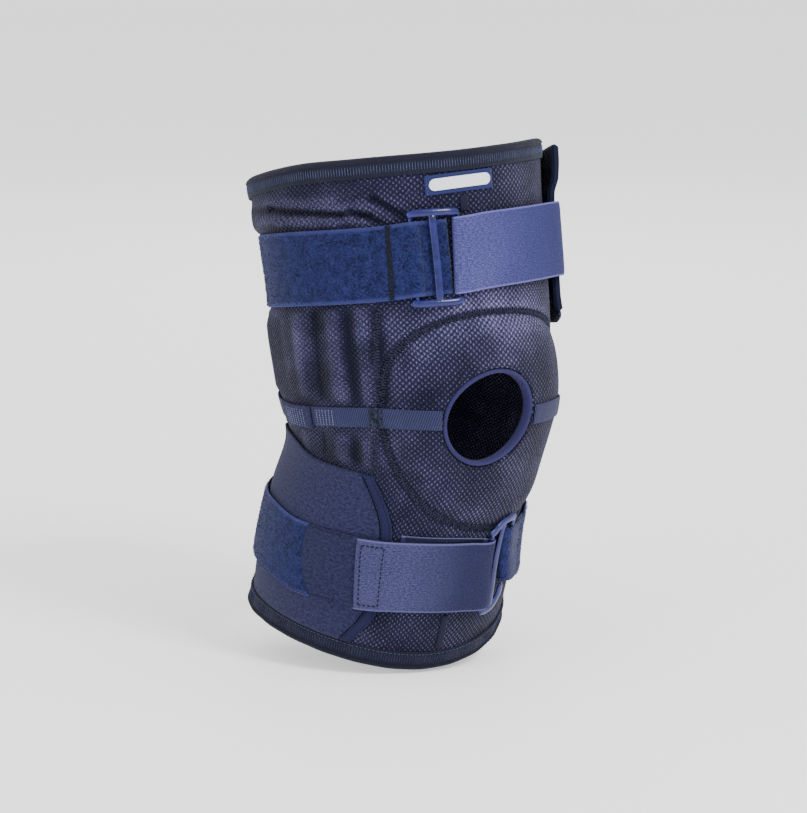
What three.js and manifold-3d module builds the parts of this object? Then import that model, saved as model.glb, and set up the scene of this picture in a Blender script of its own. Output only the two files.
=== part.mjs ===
// Elastic knee support for a right leg, bent a little at the knee as it is worn.
// The origin is the middle of the knee. +Z goes up the leg, -Y is the front, -X the outer side.
// A place on the sleeve is an angle round the leg (0 at the front, +90 at the inner side),
// a height (0 at the calf rim, 1 at the thigh rim) and a lift off the sleeve's outer face.
import * as THREE from 'three';
import { mergeVertices } from 'three/addons/utils/BufferGeometryUtils.js';
import Module from 'manifold-3d';

const wasm = await Module();
wasm.setup();

// Driving sizes, in millimetres and degrees
const sleeveHeight = 256;
const kneeHeight = 117;
const sleeveWidth = 165;
const sleeveDepth = 171;
const padThickness = 4;
const gap = 0.35;

const bindingHeight = 11.5;
const bindingInside = 9;
const bindingThickness = 1.2;
const lipHeight = 2.6;
const lipProud = 0.4;

const holeRadius = 25.1;
const holeStretch = 2.5;
const holeTurn = 30;
const holeAngle = 0;
const holeHeight = 0.494;
const ringWidth = 4;
const ringProud = 1.3;

const kneecapPadWidth = 164;
const kneecapPadHeight = 130;
const kneecapPadRise = 2.6;
const kneecapPadEdge = 12.6;
const kneecapPadCorner = 2.3;

const loopWidth = 41;
const loopThickness = 1.8;
const elasticWidth = 42;
const elasticThickness = 1.4;
const lowerWidth = 41;
const knitThickness = 1.1;
const tailWidth = 34;

const bandWidth = 11;
const bandThickness = 1;
const tabWidth = 13;

const slideBar = 4.6;
const slideRail = 4.4;
const slideThickness = 2.2;
const ringBar = 4.4;
const ringRail = 4.6;
const ringThickness = 2.4;

const flapThickness = 3.2;
const panelThickness = 1.2;
const edgeWidth = 7;
const labelWidth = 39;
const labelHeight = 11;
const labelThickness = 0.8;
const patchWidth = 35;
const patchHeight = 6.6;
const patchThickness = 0.5;
const tapeWidth = 4.6;

// Sections from the calf rim up. Shifts, widths and depths are shares of the sleeve's width and depth.
const sections = [
  { height: 0.0, side: -0.098, back: 0.156, width: 0.824, depth: 0.855, tilt: -17, lean: -2 },
  { height: 0.125, side: -0.082, back: 0.115, width: 0.837, depth: 0.887, tilt: -16, lean: -1 },
  { height: 0.25, side: -0.066, back: 0.069, width: 0.834, depth: 0.866, tilt: -14, lean: 1 },
  { height: 0.375, side: -0.029, back: 0.025, width: 0.846, depth: 0.854, tilt: -9, lean: 2 },
  { height: 0.5, side: -0.02, back: 0.013, width: 0.941, depth: 0.923, tilt: 0, lean: 2 },
  { height: 0.625, side: -0.021, back: 0.042, width: 0.964, depth: 0.926, tilt: 7, lean: 1 },
  { height: 0.75, side: -0.017, back: 0.075, width: 0.973, depth: 0.936, tilt: 9.5, lean: 0 },
  { height: 0.875, side: -0.018, back: 0.117, width: 0.988, depth: 0.968, tilt: 10.5, lean: -2 },
  { height: 1.0, side: -0.015, back: 0.159, width: 1.0, depth: 1.0, tilt: 11, lean: -3.3 },
];

// How the two rims rise and fall round the leg, as heights of their outer lines
const rims = [
  { angle: -180, top: 0.985, bottom: -0.01 },
  { angle: -132, top: 1.012, bottom: -0.03 },
  { angle: -95, top: 1.024, bottom: -0.006 },
  { angle: -70, top: 1.027, bottom: 0.004 },
  { angle: -48, top: 1.019, bottom: 0.005 },
  { angle: -10, top: 1.006, bottom: 0.0 },
  { angle: 18, top: 1.005, bottom: 0.007 },
  { angle: 60, top: 1.01, bottom: 0.024 },
  { angle: 110, top: 0.996, bottom: 0.012 },
  { angle: 180, top: 0.985, bottom: -0.01 },
];

// Stay channels: soft upright ribs at both sides, and the dent that the thigh strap presses
const channels = [
  { angle: -138, spread: 6, rise: 1.4, from: 0.49, to: 0.7 },
  { angle: -116, spread: 6, rise: 1.4, from: 0.49, to: 0.7 },
  { angle: -83, spread: 5, rise: 1.8, from: 0.5, to: 0.7 },
  { angle: -64, spread: 4.5, rise: 1.8, from: 0.5, to: 0.7 },
  { angle: -50, spread: 3.5, rise: 1.5, from: 0.5, to: 0.7 },
  { angle: -88, spread: 5, rise: 1.2, from: 0.385, to: 0.46 },
  { angle: -66, spread: 4.5, rise: 1.6, from: 0.385, to: 0.46 },
  { angle: -53, spread: 3.5, rise: 1.2, from: 0.385, to: 0.46 },
  { angle: 92, spread: 6, rise: 1.6, from: 0.39, to: 0.46 },
  { angle: 92, spread: 6, rise: 1.6, from: 0.5, to: 0.61 },
  { angle: 114, spread: 6, rise: 1.6, from: 0.39, to: 0.46 },
  { angle: 114, spread: 6, rise: 1.6, from: 0.5, to: 0.61 },
  { angle: -126, spread: 26, rise: -3.6, from: 0.67, to: 0.93 },
];

// Folds of the worn cloth: lines from one place to another, dented where the rise is below 0
const folds = [
  { angle: -96, height: 0.94, toAngle: -52, toHeight: 0.918, rise: -1.6, spread: 3.2 },
  { angle: -92, height: 0.914, toAngle: -58, toHeight: 0.901, rise: 1.3, spread: 3.4 },
  { angle: -46, height: 0.925, toAngle: -35, toHeight: 0.885, rise: 1.5, spread: 2.6 },
  { angle: -41, height: 0.925, toAngle: -31, toHeight: 0.89, rise: -1.2, spread: 2.2 },
  { angle: -142, height: 0.48, toAngle: -116, toHeight: 0.478, rise: -1.6, spread: 5 },
  { angle: 140, height: 0.52, toAngle: 178, toHeight: 0.505, rise: -1.8, spread: 6 },
  { angle: -176, height: 0.505, toAngle: -142, toHeight: 0.5, rise: -1.8, spread: 6 },
  { angle: 130, height: 0.44, toAngle: 176, toHeight: 0.425, rise: -2.2, spread: 7 },
  { angle: -174, height: 0.42, toAngle: -138, toHeight: 0.43, rise: -2.2, spread: 7 },
  { angle: 150, height: 0.59, toAngle: 179, toHeight: 0.6, rise: -1.5, spread: 6 },
];

// Strap routes along the angle. A fold back over a bar is a turn in the angle and a rise in the lift.
const upperLoopRoute = [
  { angle: -13.6, height: 0.79, lift: 1.3 },
  { angle: -22.4, height: 0.79, lift: 1.35 },
  { angle: -25, height: 0.79, lift: 2.7 },
  { angle: -26.2, height: 0.79, lift: 5.0 },
  { angle: -28.8, height: 0.79, lift: 5.0 },
  { angle: -32, height: 0.789, lift: 3.3 },
  { angle: -38, height: 0.788, lift: 2.5 },
  { angle: -44, height: 0.788, lift: 1.5 },
  { angle: -60, height: 0.791, lift: 1.4 },
  { angle: -80, height: 0.796, lift: 1.35 },
  { angle: -95, height: 0.798, lift: 0.9 },
  { angle: -110, height: 0.799, lift: -0.4 },
  { angle: -126, height: 0.8, lift: -1.4 },
  { angle: -142, height: 0.8, lift: -0.4 },
  { angle: -157, height: 0.8, lift: 0.9 },
  { angle: -180, height: 0.8, lift: 1.5 },
];
const upperElasticRoute = [
  { angle: 7, height: 0.795, lift: 1.2 },
  { angle: -5, height: 0.792, lift: 1.2 },
  { angle: -10.2, height: 0.79, lift: 1.2 },
  { angle: -12.3, height: 0.79, lift: 3.2 },
  { angle: -10.2, height: 0.79, lift: 5.2 },
  { angle: -6, height: 0.791, lift: 4.9 },
  { angle: 0, height: 0.794, lift: 3.6 },
  { angle: 9, height: 0.796, lift: 3.1 },
  { angle: 25, height: 0.799, lift: 3.4 },
  { angle: 45, height: 0.803, lift: 6.4 },
  { angle: 58, height: 0.804, lift: 9.0 },
  { angle: 70, height: 0.804, lift: 8.9 },
  { angle: 84, height: 0.803, lift: 6.4 },
  { angle: 110, height: 0.801, lift: 5.6 },
  { angle: 150, height: 0.8, lift: 5.6 },
  { angle: 172, height: 0.8, lift: 5.5 },
  { angle: 186, height: 0.8, lift: 3.7 },
  { angle: 202, height: 0.8, lift: 2.8 },
];
const lowerLoopRoute = [
  { angle: -73, height: 0.187, lift: 2.9 },
  { angle: -85, height: 0.181, lift: 3.2 },
  { angle: -101, height: 0.178, lift: 4.0 },
  { angle: -118, height: 0.167, lift: 4.6 },
  { angle: -135, height: 0.155, lift: 4.2 },
  { angle: -160, height: 0.145, lift: 3.7 },
  { angle: -200, height: 0.142, lift: 3.5 },
  { angle: -240, height: 0.155, lift: 3.5 },
  { angle: -272, height: 0.184, lift: 3.9 },
  { angle: -288, height: 0.202, lift: 1.8 },
  { angle: -302, height: 0.218, lift: 1.6 },
  { angle: -314.6, height: 0.229, lift: 1.6 },
];
const lowerKnitRoute = [
  { angle: -72.6, height: 0.187, lift: 2.6 },
  { angle: -60, height: 0.194, lift: 2.8 },
  { angle: -48, height: 0.199, lift: 3.5 },
  { angle: -40, height: 0.203, lift: 3.5 },
];
const lowerElasticRoute = [
  { angle: -48.5, height: 0.198, lift: 5.2 },
  { angle: -38, height: 0.203, lift: 5.1 },
  { angle: -31, height: 0.205, lift: 3.8 },
  { angle: -20, height: 0.207, lift: 3.0 },
  { angle: -8, height: 0.2075, lift: 3.2 },
  { angle: 1.9, height: 0.207, lift: 4.2 },
  { angle: 8.9, height: 0.205, lift: 5.8 },
  { angle: 13.3, height: 0.204, lift: 5.8 },
  { angle: 16, height: 0.204, lift: 3.6 },
  { angle: 13.3, height: 0.205, lift: 1.4 },
  { angle: 1.9, height: 0.213, lift: 1.2 },
  { angle: -12, height: 0.217, lift: 1.2 },
  { angle: -32, height: 0.216, lift: 1.2 },
];
const lowerTailRoute = [
  { angle: 45, height: 0.229, lift: 1.6 },
  { angle: 34.8, height: 0.232, lift: 1.7 },
  { angle: 25, height: 0.234, lift: 1.8 },
  { angle: 22, height: 0.235, lift: 3.9 },
  { angle: 25, height: 0.236, lift: 6.1 },
  { angle: 31, height: 0.232, lift: 5.3 },
  { angle: 39, height: 0.226, lift: 4.0 },
  { angle: 52, height: 0.216, lift: 4.0 },
  { angle: 70, height: 0.206, lift: 4.2 },
];

// A table's column at a place along it: smooth between its rows, straight beyond its ends
function follow(rows, along, column, place) {
  const last = rows.length - 1;
  const slope = (i) => {
    const a = rows[Math.max(i - 1, 0)];
    const b = rows[Math.min(i + 1, last)];
    return (b[column] - a[column]) / (b[along] - a[along]);
  };
  if (place <= rows[0][along]) return rows[0][column] + slope(0) * (place - rows[0][along]);
  if (place >= rows[last][along]) return rows[last][column] + slope(last) * (place - rows[last][along]);
  let i = 0;
  while (rows[i + 1][along] < place) i += 1;
  const span = rows[i + 1][along] - rows[i][along];
  const t = (place - rows[i][along]) / span;
  const start = (1 + 2 * t) * (1 - t) ** 2 * rows[i][column] + t * (1 - t) ** 2 * span * slope(i);
  return start + t * t * (3 - 2 * t) * rows[i + 1][column] + t * t * (t - 1) * span * slope(i + 1);
}

const radians = (degrees) => (degrees * Math.PI) / 180;
const wrap = (degrees) => ((((degrees + 180) % 360) + 360) % 360) - 180;
const ease = (t) => {
  const share = Math.min(Math.max(t, 0), 1);
  return share * share * (3 - 2 * share);
};

// The place on the bent leg: an ellipse round a tilted axis
function place(angle, height, lift = 0) {
  const at = (column) => follow(sections, 'height', column, height);
  const tilt = radians(at('tilt'));
  const lean = radians(at('lean'));
  const axis = new THREE.Vector3(
    Math.sin(lean) * Math.cos(tilt),
    Math.sin(tilt),
    Math.cos(lean) * Math.cos(tilt),
  );
  const across = new THREE.Vector3(0, 1, 0).cross(axis).normalize();
  const backward = axis.clone().cross(across);
  const turn = radians(angle);
  const centre = new THREE.Vector3(
    at('side') * sleeveWidth,
    at('back') * sleeveDepth,
    height * sleeveHeight - kneeHeight,
  );
  return centre
    .addScaledVector(across, (at('width') * sleeveWidth / 2 + lift) * Math.sin(turn))
    .addScaledVector(backward, -(at('depth') * sleeveDepth / 2 + lift) * Math.cos(turn));
}

// Millimetres to one degree, and to the whole height, at a place
function scaleAt(angle, height) {
  const here = place(angle, height);
  return {
    degree: place(angle + 1, height).distanceTo(here),
    height: place(angle, height + 0.01).distanceTo(here) * 100,
  };
}

const holeScale = scaleAt(holeAngle, holeHeight);
const holeEdge = (turn, extra) => {
  const radius = holeRadius + holeStretch * Math.cos(2 * radians(turn - holeTurn)) + extra;
  return {
    angle: holeAngle + (radius * Math.cos(radians(turn))) / holeScale.degree,
    height: holeHeight + (radius * Math.sin(radians(turn))) / holeScale.height,
  };
};

// Relief: the raised kneecap pad, the stay channels and the folds
const padCentreShift = 14;
const padDrop = 0.0003;
const padBelowHole = 0.007;
function padRise(angle, height) {
  const sideways = Math.abs(angle - padCentreShift) * holeScale.degree / (kneecapPadWidth / 2);
  const middle = holeHeight - padBelowHole - padDrop * angle;
  const upward = Math.abs(height - middle) * holeScale.height / (kneecapPadHeight / 2);
  const out = (sideways ** kneecapPadCorner + upward ** kneecapPadCorner) ** (1 / kneecapPadCorner);
  return kneecapPadRise * ease((1 - out) * (kneecapPadHeight / 2) / kneecapPadEdge);
}
const channelFade = 0.03;
function channelRise(angle, height) {
  let rise = 0;
  for (const rib of channels) {
    const window = ease((height - rib.from) / channelFade) * ease((rib.to - height) / channelFade);
    rise += rib.rise * window * Math.exp(-(((angle - rib.angle) / rib.spread) ** 2));
  }
  return rise;
}
function foldRise(angle, height) {
  let rise = 0;
  for (const fold of folds) {
    const { degree, height: whole } = holeScale;
    const ax = (fold.toAngle - fold.angle) * degree;
    const ay = (fold.toHeight - fold.height) * whole;
    const px = (angle - fold.angle) * degree;
    const py = (height - fold.height) * whole;
    const share = Math.min(Math.max((px * ax + py * ay) / (ax * ax + ay * ay), 0), 1);
    const away = Math.hypot(px - share * ax, py - share * ay) / fold.spread;
    rise += fold.rise * Math.exp(-away * away);
  }
  return rise;
}
function relief(angle, height) {
  const turned = wrap(angle);
  return padRise(turned, height) + channelRise(turned, height) + foldRise(turned, height);
}

// A taut band bridges the dents: the highest relief close to a place
function reliefUnder(angle, height) {
  let highest = -Infinity;
  for (const aside of [-4, 0, 4]) {
    for (const above of [-0.045, -0.02, 0, 0.02, 0.045]) {
      highest = Math.max(highest, relief(angle + aside, height + above));
    }
  }
  return highest;
}

// One closed mesh from rings of points, joined in turn; open rows of rings get ladder caps
function join(rings, closed) {
  const count = rings.length;
  const sides = rings[0].length;
  const positions = rings.flat().flatMap((p) => [p.x, p.y, p.z]);
  const faces = [];
  const quad = (a, b, c, d) => faces.push(a, b, c, a, c, d);
  for (let i = 0; i < (closed ? count : count - 1); i += 1) {
    const next = (i + 1) % count;
    for (let j = 0; j < sides; j += 1) {
      const k = (j + 1) % sides;
      quad(i * sides + j, next * sides + j, next * sides + k, i * sides + k);
    }
  }
  if (!closed) {
    const end = (count - 1) * sides;
    for (let j = 0; j < sides / 2 - 1; j += 1) {
      quad(j, j + 1, sides - 2 - j, sides - 1 - j);
      quad(end + sides - 1 - j, end + sides - 2 - j, end + j + 1, end + j);
    }
  }
  let volume = 0;
  const corner = (n) => new THREE.Vector3().fromArray(positions, n * 3);
  for (let f = 0; f < faces.length; f += 3) {
    volume += corner(faces[f]).dot(corner(faces[f + 1]).cross(corner(faces[f + 2])));
  }
  if (volume < 0) faces.reverse();
  const geometry = new THREE.BufferGeometry();
  geometry.setAttribute('position', new THREE.Float32BufferAttribute(positions, 3));
  geometry.setIndex(faces);
  return geometry;
}

// Cuts and joins
function toManifold(geometry) {
  const merged = mergeVertices(geometry, 1e-4);
  return new wasm.Manifold(new wasm.Mesh({
    numProp: 3,
    vertProperties: new Float32Array(merged.attributes.position.array),
    triVerts: new Uint32Array(merged.index.array),
  }));
}
function fromManifold(solid) {
  const mesh = solid.getMesh();
  const geometry = new THREE.BufferGeometry();
  geometry.setAttribute('position', new THREE.Float32BufferAttribute(mesh.vertProperties, 3));
  geometry.setIndex(Array.from(mesh.triVerts));
  return geometry;
}
const united = (geometries) => fromManifold(geometries.map(toManifold).reduce((a, b) => a.add(b)));

// Columns round the leg: close together where the front shows, wider at the back
const fineStep = 5;
const coarseStep = 9;
function columnAngles() {
  const angles = [];
  for (let angle = -180; angle < 180; ) {
    angles.push(angle);
    angle += angle >= -135 && angle < 72 ? fineStep : coarseStep;
  }
  return angles;
}

// The padded sleeve with its kneecap hole
const rimTop = (angle) => follow(rims, 'angle', 'top', wrap(angle));
const rimBottom = (angle) => follow(rims, 'angle', 'bottom', wrap(angle));
const bindingInset = bindingThickness + gap;
const rowShares = [
  0, 0.05, 0.11, 0.2, 0.29, 0.32, 0.35, 0.38, 0.41, 0.44, 0.47, 0.5, 0.54, 0.58,
  0.62, 0.65, 0.68, 0.71, 0.79, 0.87, 0.89, 0.905, 0.92, 0.94, 0.97, 1,
];
function sleeveGeometry() {
  const innerRows = 8;
  const rings = columnAngles().map((angle) => {
    const low = rimBottom(angle) + bindingInset / scaleAt(angle, 0).height;
    const high = rimTop(angle) - bindingInset / scaleAt(angle, 1).height;
    const ring = [];
    for (const share of rowShares) {
      const height = low + (high - low) * share;
      ring.push(place(angle, height, relief(angle, height)));
    }
    for (let row = innerRows; row >= 0; row -= 1) {
      ring.push(place(angle, low + (high - low) * row / innerRows, -padThickness));
    }
    return ring;
  });
  const cutter = [];
  for (let turn = 0; turn < 360; turn += 10) {
    const edge = holeEdge(turn, ringWidth + gap);
    cutter.push([-padThickness - 6, kneecapPadRise + 6].map((lift) => place(edge.angle, edge.height, lift)));
  }
  return fromManifold(toManifold(join(rings, true)).subtract(plug(cutter)));
}

// A solid plug through a ring of point pairs, closed by fans at both ends
function plug(pairs) {
  const count = pairs.length;
  const middle = (side) => pairs.reduce((sum, pair) => sum.add(pair[side]), new THREE.Vector3())
    .divideScalar(count);
  const points = [...pairs.map((p) => p[0]), ...pairs.map((p) => p[1]), middle(0), middle(1)];
  const positions = points.flatMap((p) => [p.x, p.y, p.z]);
  const faces = [];
  for (let i = 0; i < count; i += 1) {
    const next = (i + 1) % count;
    faces.push(i, next, count + next, i, count + next, count + i);
    faces.push(next, i, 2 * count, count + i, count + next, 2 * count + 1);
  }
  const build = (index) => {
    const geometry = new THREE.BufferGeometry();
    geometry.setAttribute('position', new THREE.Float32BufferAttribute(positions, 3));
    geometry.setIndex(index);
    return toManifold(geometry);
  };
  const solid = build(faces);
  return solid.volume() > 0 ? solid : build(faces.reverse());
}

// Bindings: a ribbed band and a rolled lip folded over a rim. The section holds [down from the rim, lift].
const bindingSection = [
  [bindingHeight, gap],
  [bindingHeight, gap + bindingThickness],
  [lipHeight, gap + bindingThickness + lipProud],
  [0, -padThickness / 2],
  [lipHeight, -padThickness - gap - bindingThickness],
  [bindingInside, -padThickness - gap],
  [bindingThickness, -padThickness - gap],
  [bindingThickness, gap],
];
function bindingGeometry(rim, direction) {
  const rings = columnAngles().map((angle) => {
    const { height: whole } = scaleAt(angle, direction > 0 ? 1 : 0);
    return bindingSection.map(([down, lift]) => place(angle, rim(angle) - direction * down / whole, lift));
  });
  return join(rings, true);
}

// The bound edge of the kneecap hole. The section holds [out from the hole's edge, lift].
const ringSection = [
  [0, -padThickness / 2 - 1.6], [0, kneecapPadRise - 1.6],
  [1, kneecapPadRise + ringProud - 0.6], [2.4, kneecapPadRise + ringProud],
  [ringWidth, kneecapPadRise + ringProud - 1], [ringWidth, -padThickness + 1],
  [ringWidth - 1, -padThickness - 0.8], [1, -padThickness - 0.8],
];
function ringGeometry() {
  const rings = [];
  for (let turn = 0; turn < 360; turn += 12) {
    rings.push(ringSection.map(([out, lift]) => {
      const edge = holeEdge(turn, out);
      return place(edge.angle, edge.height, lift);
    }));
  }
  return join(rings, true);
}

// A strap, band or tape along a route, with its corners rounded where asked
const foldStep = 2;
const foldSlope = 0.3;
const probe = 0.4;
function ribbonGeometry(route, { width, thickness, step = 9, rows = 2, onRelief = false, ends = () => 1 }) {
  const measured = route.map((row) => ({ ...row, run: 0 }));
  for (let i = 1; i < measured.length; i += 1) {
    const turned = (measured[i].angle - measured[i - 1].angle) * holeScale.degree;
    measured[i].run = measured[i - 1].run + Math.hypot(turned, measured[i].lift - measured[i - 1].lift);
  }
  const whole = measured[measured.length - 1].run;
  const runs = [];
  for (let i = 1; i < measured.length; i += 1) {
    const span = measured[i].run - measured[i - 1].run;
    const bent = Math.abs(measured[i].lift - measured[i - 1].lift) > foldSlope * span;
    const count = Math.max(1, Math.ceil(span / (bent ? foldStep : step)));
    for (let n = 0; n < count; n += 1) runs.push(measured[i - 1].run + span * n / count);
  }
  runs.push(whole);
  const spot = (run, share) => {
    const angle = follow(measured, 'run', 'angle', run);
    const middle = follow(measured, 'run', 'height', run);
    const half = width / 2 * ends(run, whole);
    const height = middle + share * half / scaleAt(angle, middle).height;
    const lift = follow(measured, 'run', 'lift', run) + (onRelief ? reliefUnder(angle, middle) : 0);
    return place(angle, height, lift);
  };
  const rings = runs.map((run) => {
    const outer = [];
    const inner = [];
    for (let row = 0; row <= rows; row += 1) {
      const share = 2 * row / rows - 1;
      const here = spot(run, share);
      const ahead = spot(run + probe, share).sub(spot(run - probe, share));
      const upward = spot(run, share + 0.05).sub(spot(run, share - 0.05));
      const normal = ahead.cross(upward).normalize().multiplyScalar(thickness / 2);
      outer.push(here.clone().add(normal));
      inner.unshift(here.clone().sub(normal));
    }
    return [...outer, ...inner];
  });
  return join(rings, false);
}

// A panel: a shell between two angles and two heights, whose edges may be curves
function panelGeometry({ start, end, low, high, inner, outer, columns, rows }) {
  const rings = [];
  for (let column = 0; column <= columns; column += 1) {
    const share = column / columns;
    const face = (lift, row) => {
      const rise = row / rows;
      const angle = start(rise) + (end(rise) - start(rise)) * share;
      const height = low(angle) + (high(angle) - low(angle)) * rise;
      return place(angle, height, lift(angle, height));
    };
    const ring = [];
    for (let row = 0; row <= rows; row += 1) ring.push(face(outer, row));
    for (let row = rows; row >= 0; row -= 1) ring.push(face(inner, row));
    rings.push(ring);
  }
  return join(rings, false);
}

// Calf panel: its front edges lean forward to the strap and back again below it
const calfFront = [
  { rise: 0.0, angle: -45.9 },
  { rise: 0.23, angle: -36.9 },
  { rise: 0.5, angle: -35.3 },
  { rise: 0.73, angle: -36.7 },
  { rise: 1.0, angle: -50.1 },
];
const calfTop = 0.383;
const calfTopBehind = 0.022;
const calfHigh = (angle) => calfTop + calfTopBehind * (ease((-angle - 80) / 26) - ease((-angle - 114) / 28));
const calfLow = (angle) => rimBottom(angle) + (bindingHeight + gap) / scaleAt(angle, 0).height;
const medialShift = 52;
const calfFrontAngle = (rise, mirrored) => {
  const angle = follow(calfFront, 'rise', 'angle', rise);
  return mirrored ? -360 - angle + medialShift : angle;
};
const edgeSpan = edgeWidth / holeScale.degree;
const gapSpan = 2 * gap / holeScale.degree;
const panelLift = gap + 0.3;
const edgeProud = 0.6;
const calfPanelGeometry = () => panelGeometry({
  start: (rise) => calfFrontAngle(rise, false) - edgeSpan - gapSpan,
  end: (rise) => calfFrontAngle(rise, true) + edgeSpan + gapSpan,
  low: calfLow,
  high: calfHigh,
  inner: (angle, height) => panelLift + relief(angle, height),
  outer: (angle, height) => panelLift + panelThickness + relief(angle, height),
  columns: 32,
  rows: 5,
});
const calfEdgeGeometry = (mirrored) => panelGeometry({
  start: (rise) => calfFrontAngle(rise, mirrored) + (mirrored ? edgeSpan : 0),
  end: (rise) => calfFrontAngle(rise, mirrored) - (mirrored ? 0 : edgeSpan),
  low: calfLow,
  high: calfHigh,
  inner: (angle, height) => panelLift + relief(angle, height),
  outer: (angle, height) => panelLift + panelThickness + edgeProud + relief(angle, height),
  columns: 2,
  rows: 8,
});

// Thigh flap: a padded wrap whose bound front edge stands off the sleeve
const flapStart = 64;
const flapEnd = 175;
const flapLow = 0.635;
const flapHigh = 0.975;
const flapCorner = 10;
const flapCornerHeight = 0.03;
const flapStandOff = 2.6;
const flapSettle = 22;
const flapOverRim = 0.895;
const flapBinding = 2.2;
const flapBindingProud = 0.7;
const flapLift = (angle, height) => gap + 0.3 + flapStandOff * (1 - ease((angle - flapStart) / flapSettle))
  + (bindingThickness + 0.5) * ease((height - flapOverRim) / 0.03);
const flapRound = (angle) => {
  const near = Math.max(0, flapStart + flapCorner - angle) / flapCorner;
  return flapCornerHeight * (1 - Math.sqrt(Math.max(0, 1 - near * near)));
};
const flapEdges = {
  low: (angle) => flapLow + flapRound(angle),
  high: (angle) => flapHigh + 0.012 * ease((90 - angle) / 30) - flapRound(angle),
};
const thighFlapGeometry = () => panelGeometry({
  start: () => flapStart,
  end: () => flapEnd,
  ...flapEdges,
  inner: (angle, height) => flapLift(angle, height),
  outer: (angle, height) => flapLift(angle, height) + flapThickness,
  columns: 15,
  rows: 7,
});
const flapBindingGeometry = () => panelGeometry({
  start: () => flapStart - gapSpan - flapBinding,
  end: () => flapStart - gapSpan,
  ...flapEdges,
  inner: (angle, height) => flapLift(angle, height) - flapBindingProud,
  outer: (angle, height) => flapLift(angle, height) + flapThickness + flapBindingProud,
  columns: 2,
  rows: 8,
});

// A rounded plastic bar along a line of places. The section is an oval of a width and a thickness.
function barGeometry(spots, width, thickness, sides = 6) {
  const points = spots.map(({ angle, height, lift }) => place(angle, height, lift));
  const rings = points.map((point, i) => {
    const before = points[Math.max(i - 1, 0)];
    const after = points[Math.min(i + 1, points.length - 1)];
    const ahead = after.clone().sub(before).normalize();
    const { angle, height, lift } = spots[i];
    const outward = place(angle, height, lift + 1).sub(point).normalize();
    const side = ahead.clone().cross(outward).normalize();
    const normal = side.clone().cross(ahead).normalize();
    const ring = [];
    for (let n = 0; n < sides; n += 1) {
      const turn = radians((n + 0.5) * 360 / sides);
      ring.push(point.clone()
        .addScaledVector(side, Math.cos(turn) * width / 2)
        .addScaledVector(normal, Math.sin(turn) * thickness / 2));
    }
    return ring;
  });
  return join(rings, false);
}

// Three-bar slide on the thigh strap. Its rails wave over the strap's edges.
const slideMiddle = 0.79;
const slideAngle = -19.5;
const slideBars = [
  { angle: -27.8, lift: 2.9, width: 2.2, thickness: 1.6 },
  { angle: slideAngle, lift: 4.2, width: slideBar, thickness: slideThickness },
  { angle: -9.2, lift: 3.25, width: 1.8, thickness: 1.4 },
];
const slideRailWave = [
  { angle: -29.4, rise: -0.2, lift: 2.6 },
  { angle: -26.4, rise: 1.2, lift: 3.4 },
  { angle: -21, rise: 1.2, lift: 3.6 },
  { angle: -16.5, rise: 1.0, lift: 3.6 },
  { angle: -12.6, rise: 0.8, lift: 3.4 },
  { angle: -8.8, rise: -0.2, lift: 2.6 },
];
function slideGeometry() {
  const whole = scaleAt(slideAngle, slideMiddle).height;
  const reach = elasticWidth / 2 + gap + slideRail / 2;
  const rail = (direction) => barGeometry(slideRailWave.map(({ angle, rise, lift }) => ({
    angle: direction > 0 ? angle : 2 * slideAngle - angle,
    height: slideMiddle + direction * (reach + rise) / whole,
    lift,
  })), slideRail, slideThickness + 0.6);
  const bars = slideBars.map(({ angle, lift, width, thickness }) => barGeometry([-1, 0, 1].map((share) => ({
    angle,
    height: slideMiddle + share * reach / whole,
    lift,
  })), width, thickness));
  return united([rail(1), rail(-1), ...bars]);
}

// Plastic ring on the calf strap: two rails that curve into three bars. Places are [angle, up from its middle].
const ringMiddle = 0.2055;
const ringLift = 3.8;
const ringRails = [
  [[11.2, 23], [13.6, 24.4], [16, 27.2], [21.2, 29.4], [26.5, 29.2]],
  [[12.6, -23.7], [17, -23.9], [21, -21.8], [24.6, -17], [26.2, -10.6]],
];
const ringBars = [
  { from: [12.7, -23.7], to: [12.7, 24], width: 2.4 },
  { from: [18.9, -23], to: [18.9, 28.6], width: ringBar },
  { from: [26.2, -10.6], to: [25.6, 29.2], width: 2.4 },
];
function calfRingGeometry() {
  const whole = scaleAt(ringBars[1].from[0], ringMiddle).height;
  const spot = ([angle, up]) => ({ angle, height: ringMiddle + up / whole, lift: ringLift });
  const rails = ringRails.map((places) => barGeometry(places.map(spot), ringRail, ringThickness));
  const bars = ringBars.map(({ from, to, width }) => {
    const middle = [(from[0] + to[0]) / 2, (from[1] + to[1]) / 2];
    return barGeometry([from, middle, to].map(spot), width, ringThickness - 0.6);
  });
  return united([...rails, ...bars]);
}

// Label, its bare patch and the tapes down the front
const labelAngle = -6.4;
const labelMiddle = 0.9385;
const labelRoute = (width, lift) => {
  const half = width / 2 / holeScale.degree;
  return [-1, 0, 1].map((share) => ({ angle: labelAngle + share * half, height: labelMiddle, lift }));
};
const tapeThickness = 0.7;
const tapeGeometry = (low, high, angle) => {
  const half = tapeWidth / 2 / holeScale.degree;
  return panelGeometry({
    start: () => angle - half,
    end: () => angle + half,
    low: () => low,
    high: () => high,
    inner: () => gap,
    outer: () => gap + tapeThickness,
    columns: 2,
    rows: 2,
  });
};

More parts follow.
